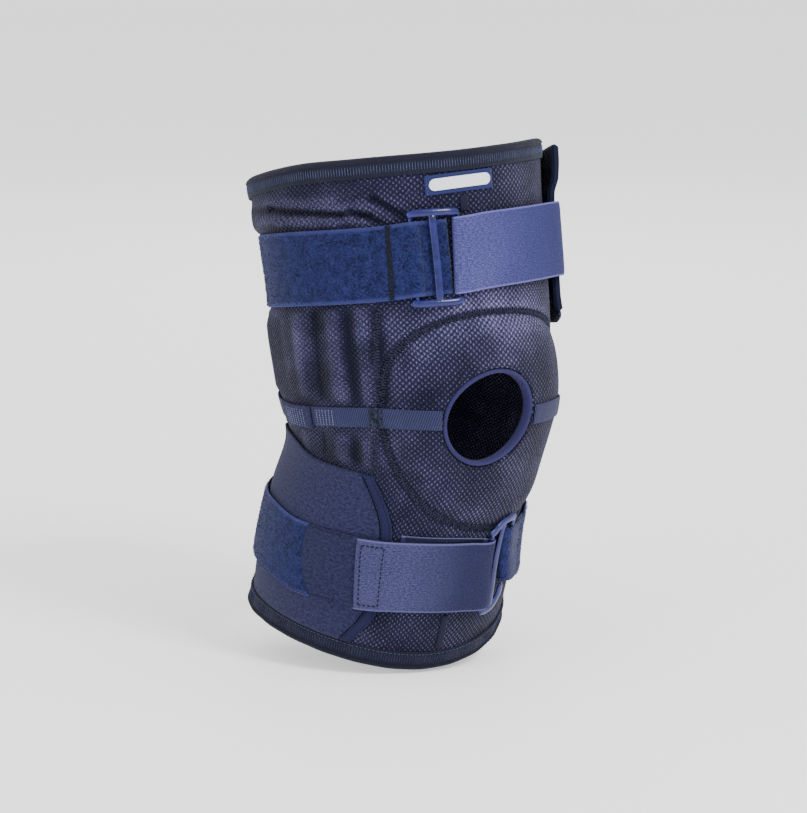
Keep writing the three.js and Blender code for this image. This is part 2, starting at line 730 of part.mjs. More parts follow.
// Routes of the narrow knee bands, from the ring to the sides
const bandHeight = 0.492;
const bandEnd = 128;
const bandLift = gap + 0.1 + bandThickness / 2;
const bandHeightAt = (angle) => bandHeight - 0.028 * ease((Math.abs(angle) - 40) / 70);
const bandRoute = (from, to) => {
  const rows = [];
  const count = 6;
  for (let i = 0; i <= count; i += 1) {
    const angle = from + (to - from) * i / count;
    rows.push({ angle, height: bandHeightAt(angle), lift: bandLift });
  }
  return rows;
};
const bandStart = holeEdge(0, ringWidth).angle - holeAngle + 1.2;
const tabRoute = [-104, -96, -88, -80].map((angle) => ({
  angle,
  height: bandHeightAt(angle) - 0.003,
  lift: bandLift + bandThickness + gap,
}));

// Colours and roughness; nothing here is metal
const look = (color, roughness) => new THREE.MeshStandardMaterial({ color, roughness, metalness: 0 });
const looks = {
  mesh: look('#42435a', 0.9),
  binding: look('#262a3c', 0.75),
  ring: look('#4a4a80', 0.75),
  webbing: look('#3f4562', 0.8),
  loop: look('#2a3864', 0.95),
  elastic: look('#5d649a', 0.8),
  knit: look('#39405f', 0.85),
  plastic: look('#3b47a0', 0.3),
  label: look('#32407c', 0.7),
  patch: look('#e8e9f2', 0.6),
};

const part = new THREE.Group();
function add(name, geometry, material) {
  const mesh = new THREE.Mesh(geometry, material);
  mesh.name = name;
  part.add(mesh);
}

add('sleeve', sleeveGeometry(), looks.mesh);
add('top_binding', bindingGeometry(rimTop, 1), looks.binding);
add('bottom_binding', bindingGeometry(rimBottom, -1), looks.binding);
add('patella_ring', ringGeometry(), looks.ring);

const bandShape = { width: bandWidth, thickness: bandThickness, rows: 1, onRelief: true };
add('knee_band_lateral', ribbonGeometry(bandRoute(-bandStart, -bandEnd), bandShape), looks.webbing);
add('knee_band_medial', ribbonGeometry(bandRoute(bandStart, bandEnd), bandShape), looks.webbing);
add('knee_band_tab', ribbonGeometry(tabRoute, { ...bandShape, width: tabWidth }), looks.webbing);

const loopShape = { width: loopWidth, thickness: loopThickness };
add('upper_loop_strap', ribbonGeometry(upperLoopRoute, loopShape), looks.loop);
const elasticShape = { width: elasticWidth, thickness: elasticThickness };
add('upper_elastic_strap', ribbonGeometry(upperElasticRoute, elasticShape), looks.elastic);
add('upper_buckle', slideGeometry(), looks.plastic);
add('thigh_flap', thighFlapGeometry(), looks.mesh);
add('thigh_flap_binding', flapBindingGeometry(), looks.binding);

add('calf_panel', calfPanelGeometry(), looks.knit);
add('calf_panel_edge_lateral', calfEdgeGeometry(false), looks.binding);
add('calf_panel_edge_medial', calfEdgeGeometry(true), looks.binding);
const lowerShape = (thickness) => ({ width: lowerWidth, thickness });
add('lower_loop_strap', ribbonGeometry(lowerLoopRoute, lowerShape(loopThickness)), looks.loop);
add('lower_knit_strap', ribbonGeometry(lowerKnitRoute, lowerShape(knitThickness)), looks.knit);
add('lower_elastic_strap', ribbonGeometry(lowerElasticRoute, lowerShape(elasticThickness)), looks.elastic);
add('lower_buckle', calfRingGeometry(), looks.plastic);
const tailCorner = 8;
const tailEnds = (run, whole) => 1 - 0.25 * ease((tailCorner - (whole - run)) / tailCorner);
const tailShape = { width: tailWidth, thickness: loopThickness, ends: tailEnds };
add('lower_tail', ribbonGeometry(lowerTailRoute, tailShape), looks.loop);

const labelShape = { rows: 1, step: 9 };
add('label_tab', ribbonGeometry(
  labelRoute(labelWidth, gap + labelThickness / 2),
  { ...labelShape, width: labelHeight, thickness: labelThickness },
), looks.label);
add('label_patch', ribbonGeometry(
  labelRoute(patchWidth, gap * 2 + labelThickness + patchThickness / 2),
  { ...labelShape, width: patchHeight, thickness: patchThickness },
), looks.patch);
add('centre_tape_upper', tapeGeometry(0.878, 0.911, -5.5), looks.binding);
add('centre_tape_lower', tapeGeometry(0.05, 0.125, -4.5), looks.binding);

export default part;
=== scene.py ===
# %% [markdown]
# # An elastic knee support
# The object is an open-kneecap support for the right side, bent a little as it is worn: a padded
# sleeve of air mesh, ribbed bindings round its two rims, a bound kneecap hole, a knit panel over
# the calf, a wrap flap behind the thigh, and two straps that run through glossy plastic slides.
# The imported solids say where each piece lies. This lesson dresses them, in metres, in the same
# frame: +Z goes up the sleeve, -Y is the front, -X the outer side, and the origin is in its bend.

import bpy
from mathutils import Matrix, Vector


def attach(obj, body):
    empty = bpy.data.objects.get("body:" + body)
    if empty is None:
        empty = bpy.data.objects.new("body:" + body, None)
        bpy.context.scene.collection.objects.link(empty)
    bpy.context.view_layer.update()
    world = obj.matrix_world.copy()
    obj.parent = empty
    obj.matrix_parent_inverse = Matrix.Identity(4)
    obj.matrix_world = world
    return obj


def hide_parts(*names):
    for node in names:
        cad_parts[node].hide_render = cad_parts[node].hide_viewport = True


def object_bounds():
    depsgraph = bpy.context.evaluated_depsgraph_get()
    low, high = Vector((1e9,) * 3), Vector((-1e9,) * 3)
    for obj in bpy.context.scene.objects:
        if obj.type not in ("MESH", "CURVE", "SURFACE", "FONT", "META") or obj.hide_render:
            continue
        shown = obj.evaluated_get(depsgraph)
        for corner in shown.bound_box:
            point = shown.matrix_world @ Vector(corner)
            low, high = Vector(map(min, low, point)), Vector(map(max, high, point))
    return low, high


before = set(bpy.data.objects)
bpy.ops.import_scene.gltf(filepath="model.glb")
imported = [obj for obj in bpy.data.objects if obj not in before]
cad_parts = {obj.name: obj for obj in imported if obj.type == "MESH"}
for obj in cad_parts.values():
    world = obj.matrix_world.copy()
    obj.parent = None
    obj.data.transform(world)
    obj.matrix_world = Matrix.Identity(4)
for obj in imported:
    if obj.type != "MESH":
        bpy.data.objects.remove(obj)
cad_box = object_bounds()
print("solids in the frame:", len(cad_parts))

# %% Libraries and units
import math
from functools import partial

import bmesh
import bpy
import numpy as np
from mathutils import Vector

MM = 0.001
print("lengths are written in millimetres times", MM)

# %% [markdown]
# ## The bent sleeve as a surface
# Everything here is sewn to, or strapped round, one bent tube. It could be sculpted, but then
# each strap would need fitting by hand. A short table of oval sections gives a formula instead:
# a place is an angle round the tube, a height from the calf rim (0) to the thigh rim (1), and a
# lift off the cloth. All pieces share it, so they lie on each other without any fitting.

# %% Sections and rims
SLEEVE_HEIGHT = 256 * MM
KNEE_HEIGHT = 117 * MM
SLEEVE_WIDTH = 165 * MM
SLEEVE_DEPTH = 171 * MM
PAD_THICKNESS = 4 * MM
GAP = 0.35 * MM


def table(columns, *rows):
    """A short table: one array for each named column."""
    return dict(zip(columns.split(), np.array(rows, float).T))


sections = table(
    "height side back width depth tilt lean",
    (0.0, -0.098, 0.156, 0.824, 0.855, -17, -2),
    (0.125, -0.082, 0.115, 0.837, 0.887, -16, -1),
    (0.25, -0.066, 0.069, 0.834, 0.866, -14, 1),
    (0.375, -0.029, 0.025, 0.846, 0.854, -9, 2),
    (0.5, -0.02, 0.013, 0.941, 0.923, 0, 2),
    (0.625, -0.021, 0.042, 0.964, 0.926, 7, 1),
    (0.75, -0.017, 0.075, 0.973, 0.936, 9.5, 0),
    (0.875, -0.018, 0.117, 0.988, 0.968, 10.5, -2),
    (1.0, -0.015, 0.159, 1.0, 1.0, 11, -3.3),
)
rims = table(
    "angle top bottom",
    (-180, 0.985, -0.01),
    (-132, 1.012, -0.03),
    (-95, 1.024, -0.006),
    (-70, 1.027, 0.004),
    (-48, 1.019, 0.005),
    (-10, 1.006, 0.0),
    (18, 1.005, 0.007),
    (60, 1.01, 0.024),
    (110, 0.996, 0.012),
    (180, 0.985, -0.01),
)
print("sections:", len(sections["height"]), "rim points:", len(rims["angle"]))

# %% The surface formula


def follow(rows, along, column, where):
    """A column at a place along the table: smooth between its rows, straight beyond its ends."""
    x, y = rows[along], rows[column]
    where = np.asarray(where, float)
    before = np.maximum(np.arange(len(x)) - 1, 0)
    after = np.minimum(np.arange(len(x)) + 1, len(x) - 1)
    slope = (y[after] - y[before]) / (x[after] - x[before])
    i = np.clip(np.searchsorted(x, where) - 1, 0, len(x) - 2)
    span = x[i + 1] - x[i]
    t = np.clip((where - x[i]) / span, 0, 1)
    inside = (1 + 2 * t) * (1 - t) ** 2 * y[i] + t * (1 - t) ** 2 * span * slope[i]
    inside = inside + t * t * (3 - 2 * t) * y[i + 1] + t * t * (t - 1) * span * slope[i + 1]
    return inside + slope[0] * np.minimum(where - x[0], 0) + slope[-1] * np.maximum(where - x[-1], 0)


def place(angle, height, lift=0.0):
    """Points of the bent tube's surface, in metres."""
    angle, height, lift = np.broadcast_arrays(*(np.asarray(v, float) for v in (angle, height, lift)))
    side, back, width, depth, tilt, lean = (
        follow(sections, "height", column, height)
        for column in ("side", "back", "width", "depth", "tilt", "lean")
    )
    tilt, lean, turn = np.radians(tilt), np.radians(lean), np.radians(angle)
    axis = np.stack([np.sin(lean) * np.cos(tilt), np.sin(tilt), np.cos(lean) * np.cos(tilt)], -1)
    across = np.cross([0.0, 1.0, 0.0], axis)
    across /= np.linalg.norm(across, axis=-1, keepdims=True)
    backward = np.cross(axis, across)
    centre = np.stack([side * SLEEVE_WIDTH, back * SLEEVE_DEPTH, height * SLEEVE_HEIGHT - KNEE_HEIGHT], -1)
    outward = ((width * SLEEVE_WIDTH / 2 + lift) * np.sin(turn))[..., None] * across
    forward = ((depth * SLEEVE_DEPTH / 2 + lift) * np.cos(turn))[..., None] * backward
    return centre + outward - forward


def scale_at(angle, height):
    """Metres to one degree, and to the whole height, at a place."""
    here = place(angle, height)
    degree = np.linalg.norm(place(np.asarray(angle) + 1, height) - here, axis=-1)
    whole = np.linalg.norm(place(angle, np.asarray(height) + 0.01) - here, axis=-1) * 100
    return degree, whole


def ease(t):
    """A soft step from 0 to 1."""
    share = np.clip(t, 0, 1)
    return share * share * (3 - 2 * share)


def past(value, bend):
    """0 before a bend and 1 behind it. A bend is its start and its span, which may run backwards."""
    start, span = bend
    return ease((value - start) / span)


def wrap(angle):
    """An angle brought between -180 and 180."""
    return (np.asarray(angle, float) + 180) % 360 - 180


def rim_top(angle):
    return follow(rims, "angle", "top", wrap(angle))


def rim_bottom(angle):
    return follow(rims, "angle", "bottom", wrap(angle))


HOLE_HEIGHT = 0.494
DEGREE, WHOLE = (float(v) for v in scale_at(0, HOLE_HEIGHT))
print(f"one degree at the kneecap is {DEGREE / MM:.2f} mm")

# %% [markdown]
# ## Relief of the worn sleeve
# The padding stands up round the kneecap inside a double-stitched groove, soft ribs show where
# the side stays run, and the cloth creases above the thigh strap and behind the knee. A bump
# map would leave the outline flat, so these are heights added to the surface itself, each a
# row of a table with the place, the size and the softness that one can read off the real thing.

# %% Pad, channels and folds
PAD = {"width": 164 * MM, "height": 130 * MM, "rise": 2.6 * MM, "edge": 12.6 * MM, "corner": 2.3}
PAD_SHIFT = 14
PAD_DROP = 0.0003
PAD_BELOW_HOLE = 0.007
GROOVE_DEPTH = 1.6 * MM
GROOVE_WIDTH = 2.0 * MM
CHANNEL_FADE = 0.03

channels = table(
    "angle spread rise start end",
    (-138, 6, 1.6, 0.49, 0.7),
    (-127, 4, -0.8, 0.49, 0.7),
    (-116, 6, 1.6, 0.49, 0.7),
    (-100, 5, -0.8, 0.49, 0.7),
    (-83, 4.5, 1.9, 0.5, 0.71),
    (-73, 3.2, -1.2, 0.5, 0.71),
    (-64, 3.6, 2.0, 0.5, 0.71),
    (-57, 2.4, -0.9, 0.5, 0.71),
    (-51, 2.6, 1.6, 0.5, 0.71),
    (-44, 3.0, -1.3, 0.5, 0.71),
    (-88, 5, 1.3, 0.385, 0.46),
    (-76, 3.5, -0.8, 0.385, 0.46),
    (-66, 4, 1.8, 0.385, 0.46),
    (-59, 2.4, -1.2, 0.385, 0.46),
    (-53, 3, 1.3, 0.385, 0.46),
    (92, 6, 1.6, 0.39, 0.46),
    (92, 6, 1.6, 0.5, 0.61),
    (103, 4, -1.2, 0.5, 0.61),
    (114, 6, 1.6, 0.39, 0.46),
    (114, 6, 1.6, 0.5, 0.61),
    (-126, 26, -4.2, 0.698, 0.902),
    (-130, 34, 1.6, 0.886, 0.965),
)
folds = table(
    "angle height to_angle to_height rise spread",
    (-118, 0.943, -92, 0.938, -1.4, 3),
    (-92, 0.938, -55, 0.903, -3.0, 2.4),
    (-55, 0.903, -43, 0.894, -2.2, 2.4),
    (-104, 0.917, -84, 0.908, 1.8, 4),
    (-84, 0.908, -58, 0.889, 2.2, 3.6),
    (-90, 0.958, -58, 0.937, 1.0, 4),
    (-46, 0.925, -35, 0.879, 2.4, 1.9),
    (-41, 0.928, -30, 0.884, -2.4, 1.9),
    (-51, 0.912, -40, 0.879, -1.8, 1.7),
    (-56, 0.906, -46, 0.881, 1.3, 1.8),
    (-72, 0.695, -70, 0.665, -0.8, 4),
    (-30, 0.698, -8, 0.692, 0.9, 4),
    (-142, 0.48, -116, 0.478, -1.6, 5),
    (140, 0.52, 178, 0.505, -1.8, 6),
    (-176, 0.505, -142, 0.5, -1.8, 6),
    (130, 0.44, 176, 0.425, -2.2, 7),
    (-174, 0.42, -138, 0.43, -2.2, 7),
    (150, 0.59, 179, 0.6, -1.5, 6),
)


def pad_share(angle, height):
    """0 in the middle of the kneecap pad, 1 on its stitched outline."""
    sideways = np.abs(angle - PAD_SHIFT) * DEGREE / (PAD["width"] / 2)
    middle = HOLE_HEIGHT - PAD_BELOW_HOLE - PAD_DROP * angle
    upward = np.abs(height - middle) * WHOLE / (PAD["height"] / 2)
    return (sideways ** PAD["corner"] + upward ** PAD["corner"]) ** (1 / PAD["corner"])


def pad_rise(angle, height):
    inside = (1 - pad_share(angle, height)) * PAD["height"] / 2
    groove = GROOVE_DEPTH * np.exp(-((inside / GROOVE_WIDTH) ** 2))
    return PAD["rise"] * ease(inside / PAD["edge"]) - groove


def channel_rise(angle, height):
    rise = np.zeros(np.broadcast(angle, height).shape)
    for at, spread, up, start, end in zip(*channels.values()):
        window = past(height, (start, CHANNEL_FADE)) * past(height, (end, -CHANNEL_FADE))
        rise += up * MM * window * np.exp(-(((angle - at) / spread) ** 2))
    return rise


def fold_rise(angle, height):
    rise = np.zeros(np.broadcast(angle, height).shape)
    for at, low, to_at, to_low, up, spread in zip(*folds.values()):
        ax, ay = (to_at - at) * DEGREE, (to_low - low) * WHOLE
        px, py = (angle - at) * DEGREE, (height - low) * WHOLE
        share = np.clip((px * ax + py * ay) / (ax * ax + ay * ay), 0, 1)
        away = np.hypot(px - share * ax, py - share * ay) / (spread * MM)
        rise += up * MM * np.exp(-away * away)
    return rise


def relief(angle, height):
    turned = wrap(angle)
    return pad_rise(turned, height) + channel_rise(turned, height) + fold_rise(turned, height)


def relief_under(angle, height):
    """A taut band bridges the dents: the highest relief close to a place."""
    near = [relief(angle + a, height + h) for a in (-4, 0, 4) for h in (-0.016, -0.008, 0, 0.008, 0.016)]
    return np.maximum.reduce(near)


print(f"pad crown {float(relief(0, 0.6)) / MM:.2f} mm above the cloth")

# %% [markdown]
# ## Meshes from grids
# A sewn panel is a sheet with a thickness, so two grids of points, the outer face and the inner
# one, joined wherever the sheet ends, make a closed skin without any modelling by hand. Solidify
# could add the wall too, but here the inner face often has its own shape. The UV map is laid out
# in metres along and across the cloth, so every weave keeps its true scale.

# %% Two grids joined into a shell


def run_along(points):
    """The distance along a line of points to each of them."""
    steps = np.linalg.norm(np.diff(points, axis=0), axis=-1)
    return np.concatenate([[0], np.cumsum(steps)])


def looped(grid, axis=0):
    """A grid with its first line once more at the end."""
    return np.concatenate([grid, grid.take([0], axis)], axis)


def quads(grid):
    """The four corners of every cell of a grid of numbers or of places."""
    corners = np.stack([grid[:-1, :-1], grid[1:, :-1], grid[1:, 1:], grid[:-1, 1:]], 2)
    return corners.reshape(-1, 4, *grid.shape[2:])


def linked(name, data):
    """An object with the given data, in the scene."""
    made = bpy.data.objects.new(name, data)
    bpy.context.scene.collection.objects.link(made)
    return made


def mesh_from(name, points, edges=(), faces=()):
    mesh = bpy.data.meshes.new(name)
    mesh.from_pydata(*(np.asarray(rows).tolist() for rows in (points, edges, faces)))
    return mesh


def piece_from(name, points, faces, corners_uv, material):
    """A smooth mesh object at the origin, its faces turned outwards."""
    a, b, c, d = (points[faces[:, k]] for k in range(4))
    volume = np.sum(a * (np.cross(b, c) + np.cross(c, d)))
    if volume < 0:
        faces, corners_uv = faces[:, ::-1], corners_uv[:, ::-1]
    mesh = mesh_from(name, points, faces=faces)
    layer = mesh.uv_layers.new(name="cloth")
    layer.data.foreach_set("uv", np.ascontiguousarray(corners_uv, np.float32).ravel())
    mesh.shade_smooth()
    mesh.materials.append(material)
    mesh.update()
    return linked(name, mesh)


def shell(name, outer, inner, uv, material, closed=False, keep=None, painted_shading=None):
    """A closed skin from an outer and an inner grid. uv has one more column where it is closed."""
    total = outer[..., 0].size
    index = np.arange(total).reshape(outer.shape[:2])
    faces, corners = quads(looped(index) if closed else index), quads(uv)
    if keep is not None:
        faces, corners = faces[keep.ravel()], corners[keep.ravel()]
    edges, edge_uv = (
        np.concatenate([rows[:, [k, (k + 1) % 4]] for k in range(4)]) for rows in (faces, corners)
    )
    code, back = edges[:, 0] * total + edges[:, 1], edges[:, 1] * total + edges[:, 0]
    open_edge = ~np.isin(code, back)
    p, q = edges[open_edge].T
    sides = np.stack([q, p, p + total, q + total], -1)
    points = np.concatenate([outer.reshape(-1, 3), inner.reshape(-1, 3)])
    faces = np.concatenate([faces, faces[:, ::-1] + total, sides])
    corners = np.concatenate([corners, corners[:, ::-1], edge_uv[open_edge][:, [1, 0, 0, 1]]])
    used, faces = np.unique(faces, return_inverse=True)
    piece = piece_from(name, points[used], faces.reshape(-1, 4), corners, material)
    if painted_shading is not None:
        shades = piece.data.attributes.new("painted_shading", "FLOAT", "POINT")
        shades.data.foreach_set("value", np.tile(painted_shading.ravel(), 2)[used].astype(np.float32))
    return piece


# %% A closed section swept along a path


def swept(name, rings, uv, material, closed=True):
    """A skin from rings of points. An open one is closed at its ends by a point in the middle."""
    if not closed:
        start, end = (np.broadcast_to(rings[k].mean(0), rings[:1].shape) for k in (0, -1))
        rings = np.concatenate([start, rings, end])
        uv = np.concatenate([uv[:1], uv, uv[-1:]])
    index = np.arange(rings[..., 0].size).reshape(rings.shape[:2])
    faces = quads(looped(looped(index) if closed else index, 1))
    piece = piece_from(name, rings.reshape(-1, 3), faces, quads(uv), material)
    if not closed:
        merge_doubles(piece)
    return piece


def merge_doubles(piece):
    """Merge points that lie on each other and drop the faces that have no area."""
    work = bmesh.new()
    work.from_mesh(piece.data)
    bmesh.ops.remove_doubles(work, verts=work.verts, dist=1e-6)
    bmesh.ops.dissolve_degenerate(work, edges=work.edges, dist=1e-7)
    work.to_mesh(piece.data)
    work.free()
    piece.data.shade_smooth()


def section_uv(rings, closed=True):
    """UV in metres for rings: along the path, and round the section."""
    loop = looped(rings, 1)
    if closed:
        loop = looped(loop)
    return np.stack(np.meshgrid(run_along(loop.mean(1)), run_along(loop[0]), indexing="ij"), -1)


print("mesh helpers: shell, swept")

# %% [markdown]
# ## A small language for materials
# Cloth needs patterns that are worked out from its UV map: rows of loops, ribs, yarn. Built by
# hand in the node editor they would be long chains of Math nodes. Here a socket is wrapped in a
# class whose operators add those nodes, so a weave is written as the formula that it is.

# %% Sockets with operators


class Value:
    """A number socket. Its operators add Math nodes to the same tree."""

    def __init__(self, kit, socket):
        self.kit, self.socket = kit, socket

    def maths(self, operation, *others):
        return self.kit.maths(operation, self, *others)

    def __add__(self, other):
        return self.maths("ADD", other)

    def __sub__(self, other):
        return self.maths("SUBTRACT", other)

    def __mul__(self, other):
        return self.maths("MULTIPLY", other)

    def __truediv__(self, other):
        return self.maths("DIVIDE", other)

    def __rsub__(self, other):
        return self.kit.maths("SUBTRACT", other, self)

    def wave(self, pitch):
        """A cosine of the given pitch, from -1 to 1."""
        return (self * (math.tau / pitch)).maths("COSINE")

    def step(self, low, high):
        """0 below low, 1 above high, and a straight rise between them."""
        return ((self - low) / (high - low)).maths("MINIMUM", 1.0).maths("MAXIMUM", 0.0)

    def distance(self, other):
        return (self - other).maths("ABSOLUTE")


def add_node(tree, kind, settings=None, **inputs):
    """A node of a type in any tree, its settings first, then its inputs by name or by number."""
    made = tree.nodes.new(kind)
    for setting, value in (settings or {}).items():
        setattr(made, setting, value)
    for key, value in inputs.items():
        socket = made.inputs[int(key[1:])] if key[0] == "_" else made.inputs[key.replace("_", " ")]
        value = value.socket if isinstance(value, Value) else value
        if isinstance(value, bpy.types.NodeSocket):
            tree.links.new(value, socket)
        else:
            socket.default_value = value
    return made


def light(screen):
    """A screen colour from 0 to 255 as the linear light that a shader wants."""
    return [((c / 255 + 0.055) / 1.055) ** 2.4 if c > 10 else c / 255 / 12.92 for c in screen] + [1.0]


class Kit:
    """One material's node tree and the few calls that fill it."""

    def __init__(self, name, roughness, **fixed):
        self.material = bpy.data.materials.new(name)
        self.material.use_nodes = True
        self.tree = self.material.node_tree
        self.shader = self.tree.nodes["Principled BSDF"]
        for socket, value in {"Roughness": roughness, **fixed}.items():
            self.shader.inputs[socket.replace("_", " ")].default_value = value

    def node(self, kind, settings=None, **inputs):
        return add_node(self.tree, kind, settings, **inputs)

    def maths(self, operation, *values):
        inputs = {f"_{i}": value for i, value in enumerate(values)}
        return Value(self, self.node("ShaderNodeMath", {"operation": operation}, **inputs).outputs[0])

    def cloth(self):
        """Metres along and across the cloth, from its UV map."""
        uv = self.node("ShaderNodeUVMap", {"uv_map": "cloth"})
        parts = self.node("ShaderNodeSeparateXYZ", _0=uv.outputs[0])
        return Value(self, parts.outputs[0]), Value(self, parts.outputs[1]), uv.outputs[0]

    def spot(self):
        """The place on the object."""
        return self.node("ShaderNodeTexCoord").outputs["Object"]

    def noise(self, vector, scale, detail=2.0, rough=0.5):
        made = self.node(
            "ShaderNodeTexNoise", {"noise_dimensions": "3D"},
            Vector=vector, Scale=scale, Detail=detail, Roughness=rough,
        )
        return Value(self, made.outputs[0])

    def stretched(self, vector, along, across):
        """UV with each way scaled, so that a noise becomes long fibres."""
        return self.node("ShaderNodeMapping", Vector=vector, Scale=(along, across, 1.0)).outputs[0]

    def blend(self, share, low, high):
        """A colour between two others, each a link, a screen colour in brackets or a list of light."""
        low, high = (light(c) if isinstance(c, tuple) else c for c in (low, high))
        settings = {"data_type": "RGBA", "clamp_factor": True}
        return self.node("ShaderNodeMix", settings, _0=share, _6=low, _7=high).outputs[2]

    def bump(self, height, distance, strength=1.0):
        return self.node("ShaderNodeBump", Height=height, Distance=distance, Strength=strength).outputs[0]

    def finish(self, colour, normal=None, roughness=None):
        self.tree.links.new(colour, self.shader.inputs["Base Color"])
        if normal is not None:
            self.tree.links.new(normal, self.shader.inputs["Normal"])
        if roughness is not None:
            self.tree.links.new(roughness.socket, self.shader.inputs["Roughness"])
        return self.material


CLOTH = {"Specular_IOR_Level": 0.1, "Sheen_Weight": 0.06, "Sheen_Roughness": 0.4}
print("materials are built by the Kit class")

# %% [markdown]
# ## Air mesh
# The sleeve is a knitted spacer fabric: pale loops stand in slanting rows over dark holes. Real
# holes by the ten thousand would drown the mesh, and at some 2 mm apart they are far below its
# outline, so two cosines multiplied make the centred lattice of loops, and colour and bump
# read it. A slow noise makes the rows wander as knitting does. Painted light and shade, kept on
# the sleeve's points, lightens ridges and the front of the pad and darkens the creases.

# %% The air mesh material
LOOP_ALONG = 3.3 * MM
LOOP_UP = 3.2 * MM
MESH_DARK = (12, 12, 30)
# MESH_DEEP and MESH_BRIGHT are lighter, lit copies of MESH_DARK and MESH_PALE for painted light.
MESH_DEEP = (36, 35, 62)
MESH_PALE = (86, 84, 122)
MESH_BRIGHT = (140, 135, 180)


def air_mesh():
    kit = Kit("air_mesh", 0.85, **CLOTH)
    u, v, uv = kit.cloth()
    front = u.step(-75 * MM, -45 * MM)
    u = u + (kit.noise(uv, 45.0) - 0.5) * (2.4 * MM)
    v = v + (kit.noise(uv, 70.0) - 0.5) * (1.6 * MM)
    column = u.wave(LOOP_ALONG)
    loops = column * v.wave(LOOP_UP) - (1 - column * column) * 0.5
    uneven = kit.noise(uv, 520.0, 2.0)
    yarn = kit.noise(kit.stretched(uv, 1.0, 0.45), 2600.0, 3.0, 0.65)
    grain = kit.noise(uv, 1400.0, 2.0, 0.6)
    worn = kit.noise(uv, 38.0, 3.0)
    # Painted light and shade from the sleeve's points: painted shade in creases, painted highlight on
    # ridges and the front of the pad.
    painted_shading = Value(kit, kit.node("ShaderNodeAttribute", {"attribute_name": "painted_shading"}).outputs["Fac"])
    pattern = loops * (uneven * 1.6 - 0.1) * (front * 0.5 + 0.4)
    fuzzy = (yarn - 0.5) * 3.0 + (grain - 0.5) * 2.2
    shown = (pattern + fuzzy + (worn - 0.5) * 0.8 + painted_shading * 0.35).step(0.0, 1.5)
    # The share of the lit copies: painted light, with random mottling.
    bright = (painted_shading * 0.5 + (worn - 0.5) * 1.2 + 0.3).step(0.0, 1.0)
    low = kit.blend(bright, MESH_DARK, MESH_DEEP)
    high = kit.blend(bright, MESH_PALE, MESH_BRIGHT)
    woven = kit.blend(shown, low, high)
    # Painted shade: the creases are darkened towards MESH_DARK.
    crease_shade = (painted_shading * -1.0).step(0.0, 1.0) * 0.55
    normal = kit.bump(loops + (yarn - 0.5) * 0.9, 0.5 * MM)
    return kit.finish(kit.blend(crease_shade, woven, MESH_DARK), normal)


AIR_MESH = air_mesh()
print("made", AIR_MESH.name)

# %% [markdown]
# ## Narrow cloths
# The bindings, bands and straps differ in how they are woven: binding and webbing have ribs
# across them, elastic has a fine flat weave with a pale selvedge, knit has fine slanting
# wales, and the loop strap is a mat of brushed yarn. One function for each keeps them apart.

# %% Binding, webbing and ring materials


def ribbed(name, low, high, pitch, depth, fibres=2600.0, slant=0.0):
    """Ribs that run across the cloth, a pitch apart."""
    kit = Kit(name, 0.8, **CLOTH)
    u, v, uv = kit.cloth()
    yarn = kit.noise(uv, fibres, 3.0, 0.6)
    ribs = (u + v * slant + (yarn - 0.5) * (0.5 * pitch)).wave(pitch)
    shown = (ribs * 0.5 + (yarn - 0.5) * 1.2 + kit.noise(uv, 60.0) * 0.5).step(-0.6, 1.1)
    normal = kit.bump(ribs * 0.7 + (yarn - 0.5), depth)
    return kit.finish(kit.blend(shown, low, high), normal)


BINDING = ribbed("binding_tape", (11, 13, 24), (36, 38, 54), 0.9 * MM, 0.16 * MM)
LIP = ribbed("rolled_binding", (18, 18, 30), (35, 34, 50), 0.45 * MM, 0.08 * MM, 4200.0)
RING_EDGE = ribbed("kneecap_binding", (27, 26, 58), (56, 53, 96), 0.5 * MM, 0.08 * MM, 4200.0)
WEBBING = ribbed("knee_webbing", (18, 20, 42), (58, 60, 94), 1.3 * MM, 0.2 * MM, slant=0.35)
EDGE_TAPE = ribbed("panel_edge_tape", (14, 15, 36), (38, 39, 76), 0.8 * MM, 0.12 * MM, slant=0.3)
print("made", BINDING.name, LIP.name, RING_EDGE.name, WEBBING.name, EDGE_TAPE.name)

# %% Woven elastic, knit and brushed loop


def woven_elastic(name, low, high, half, shaded):
    """A fine flat weave with a smooth selvedge, and painted shade along its length where it turns away from
    the light.
    """
    kit = Kit(name, 0.75, **{**CLOTH, "Sheen_Weight": 0.0})
    u, v, uv = kit.cloth()
    yarn = kit.noise(kit.stretched(uv, 0.5, 1.2), 1250.0, 4.0, 0.75)
    weave = u.wave(1.15 * MM) * v.wave(0.95 * MM)
    lanes = v.wave(0.95 * MM) * 0.35
    worn = kit.noise(uv, 30.0, 2.0)
    shade = (weave * 0.35 + lanes * 0.5 + (yarn - 0.5) * 6.5 + (worn - 0.5) * 0.8).step(-1.3, 1.4)
    edge = v.distance(0.0).step(half - 1.2 * MM, half - 0.7 * MM)
    # Painted shade along the strap: it starts and is full at the two distances in shaded, in millimetres.
    turned = u.step(shaded[0] * MM, shaded[1] * MM) * 0.7
    body = kit.blend(turned, kit.blend(shade, low, high), low)
    pale = [c * 1.15 for c in light(high)[:3]] + [1.0]
    normal = kit.bump(weave + lanes + (yarn - 0.5) * 0.6, 0.12 * MM)
    return kit.finish(kit.blend(edge * 0.75, body, pale), normal)


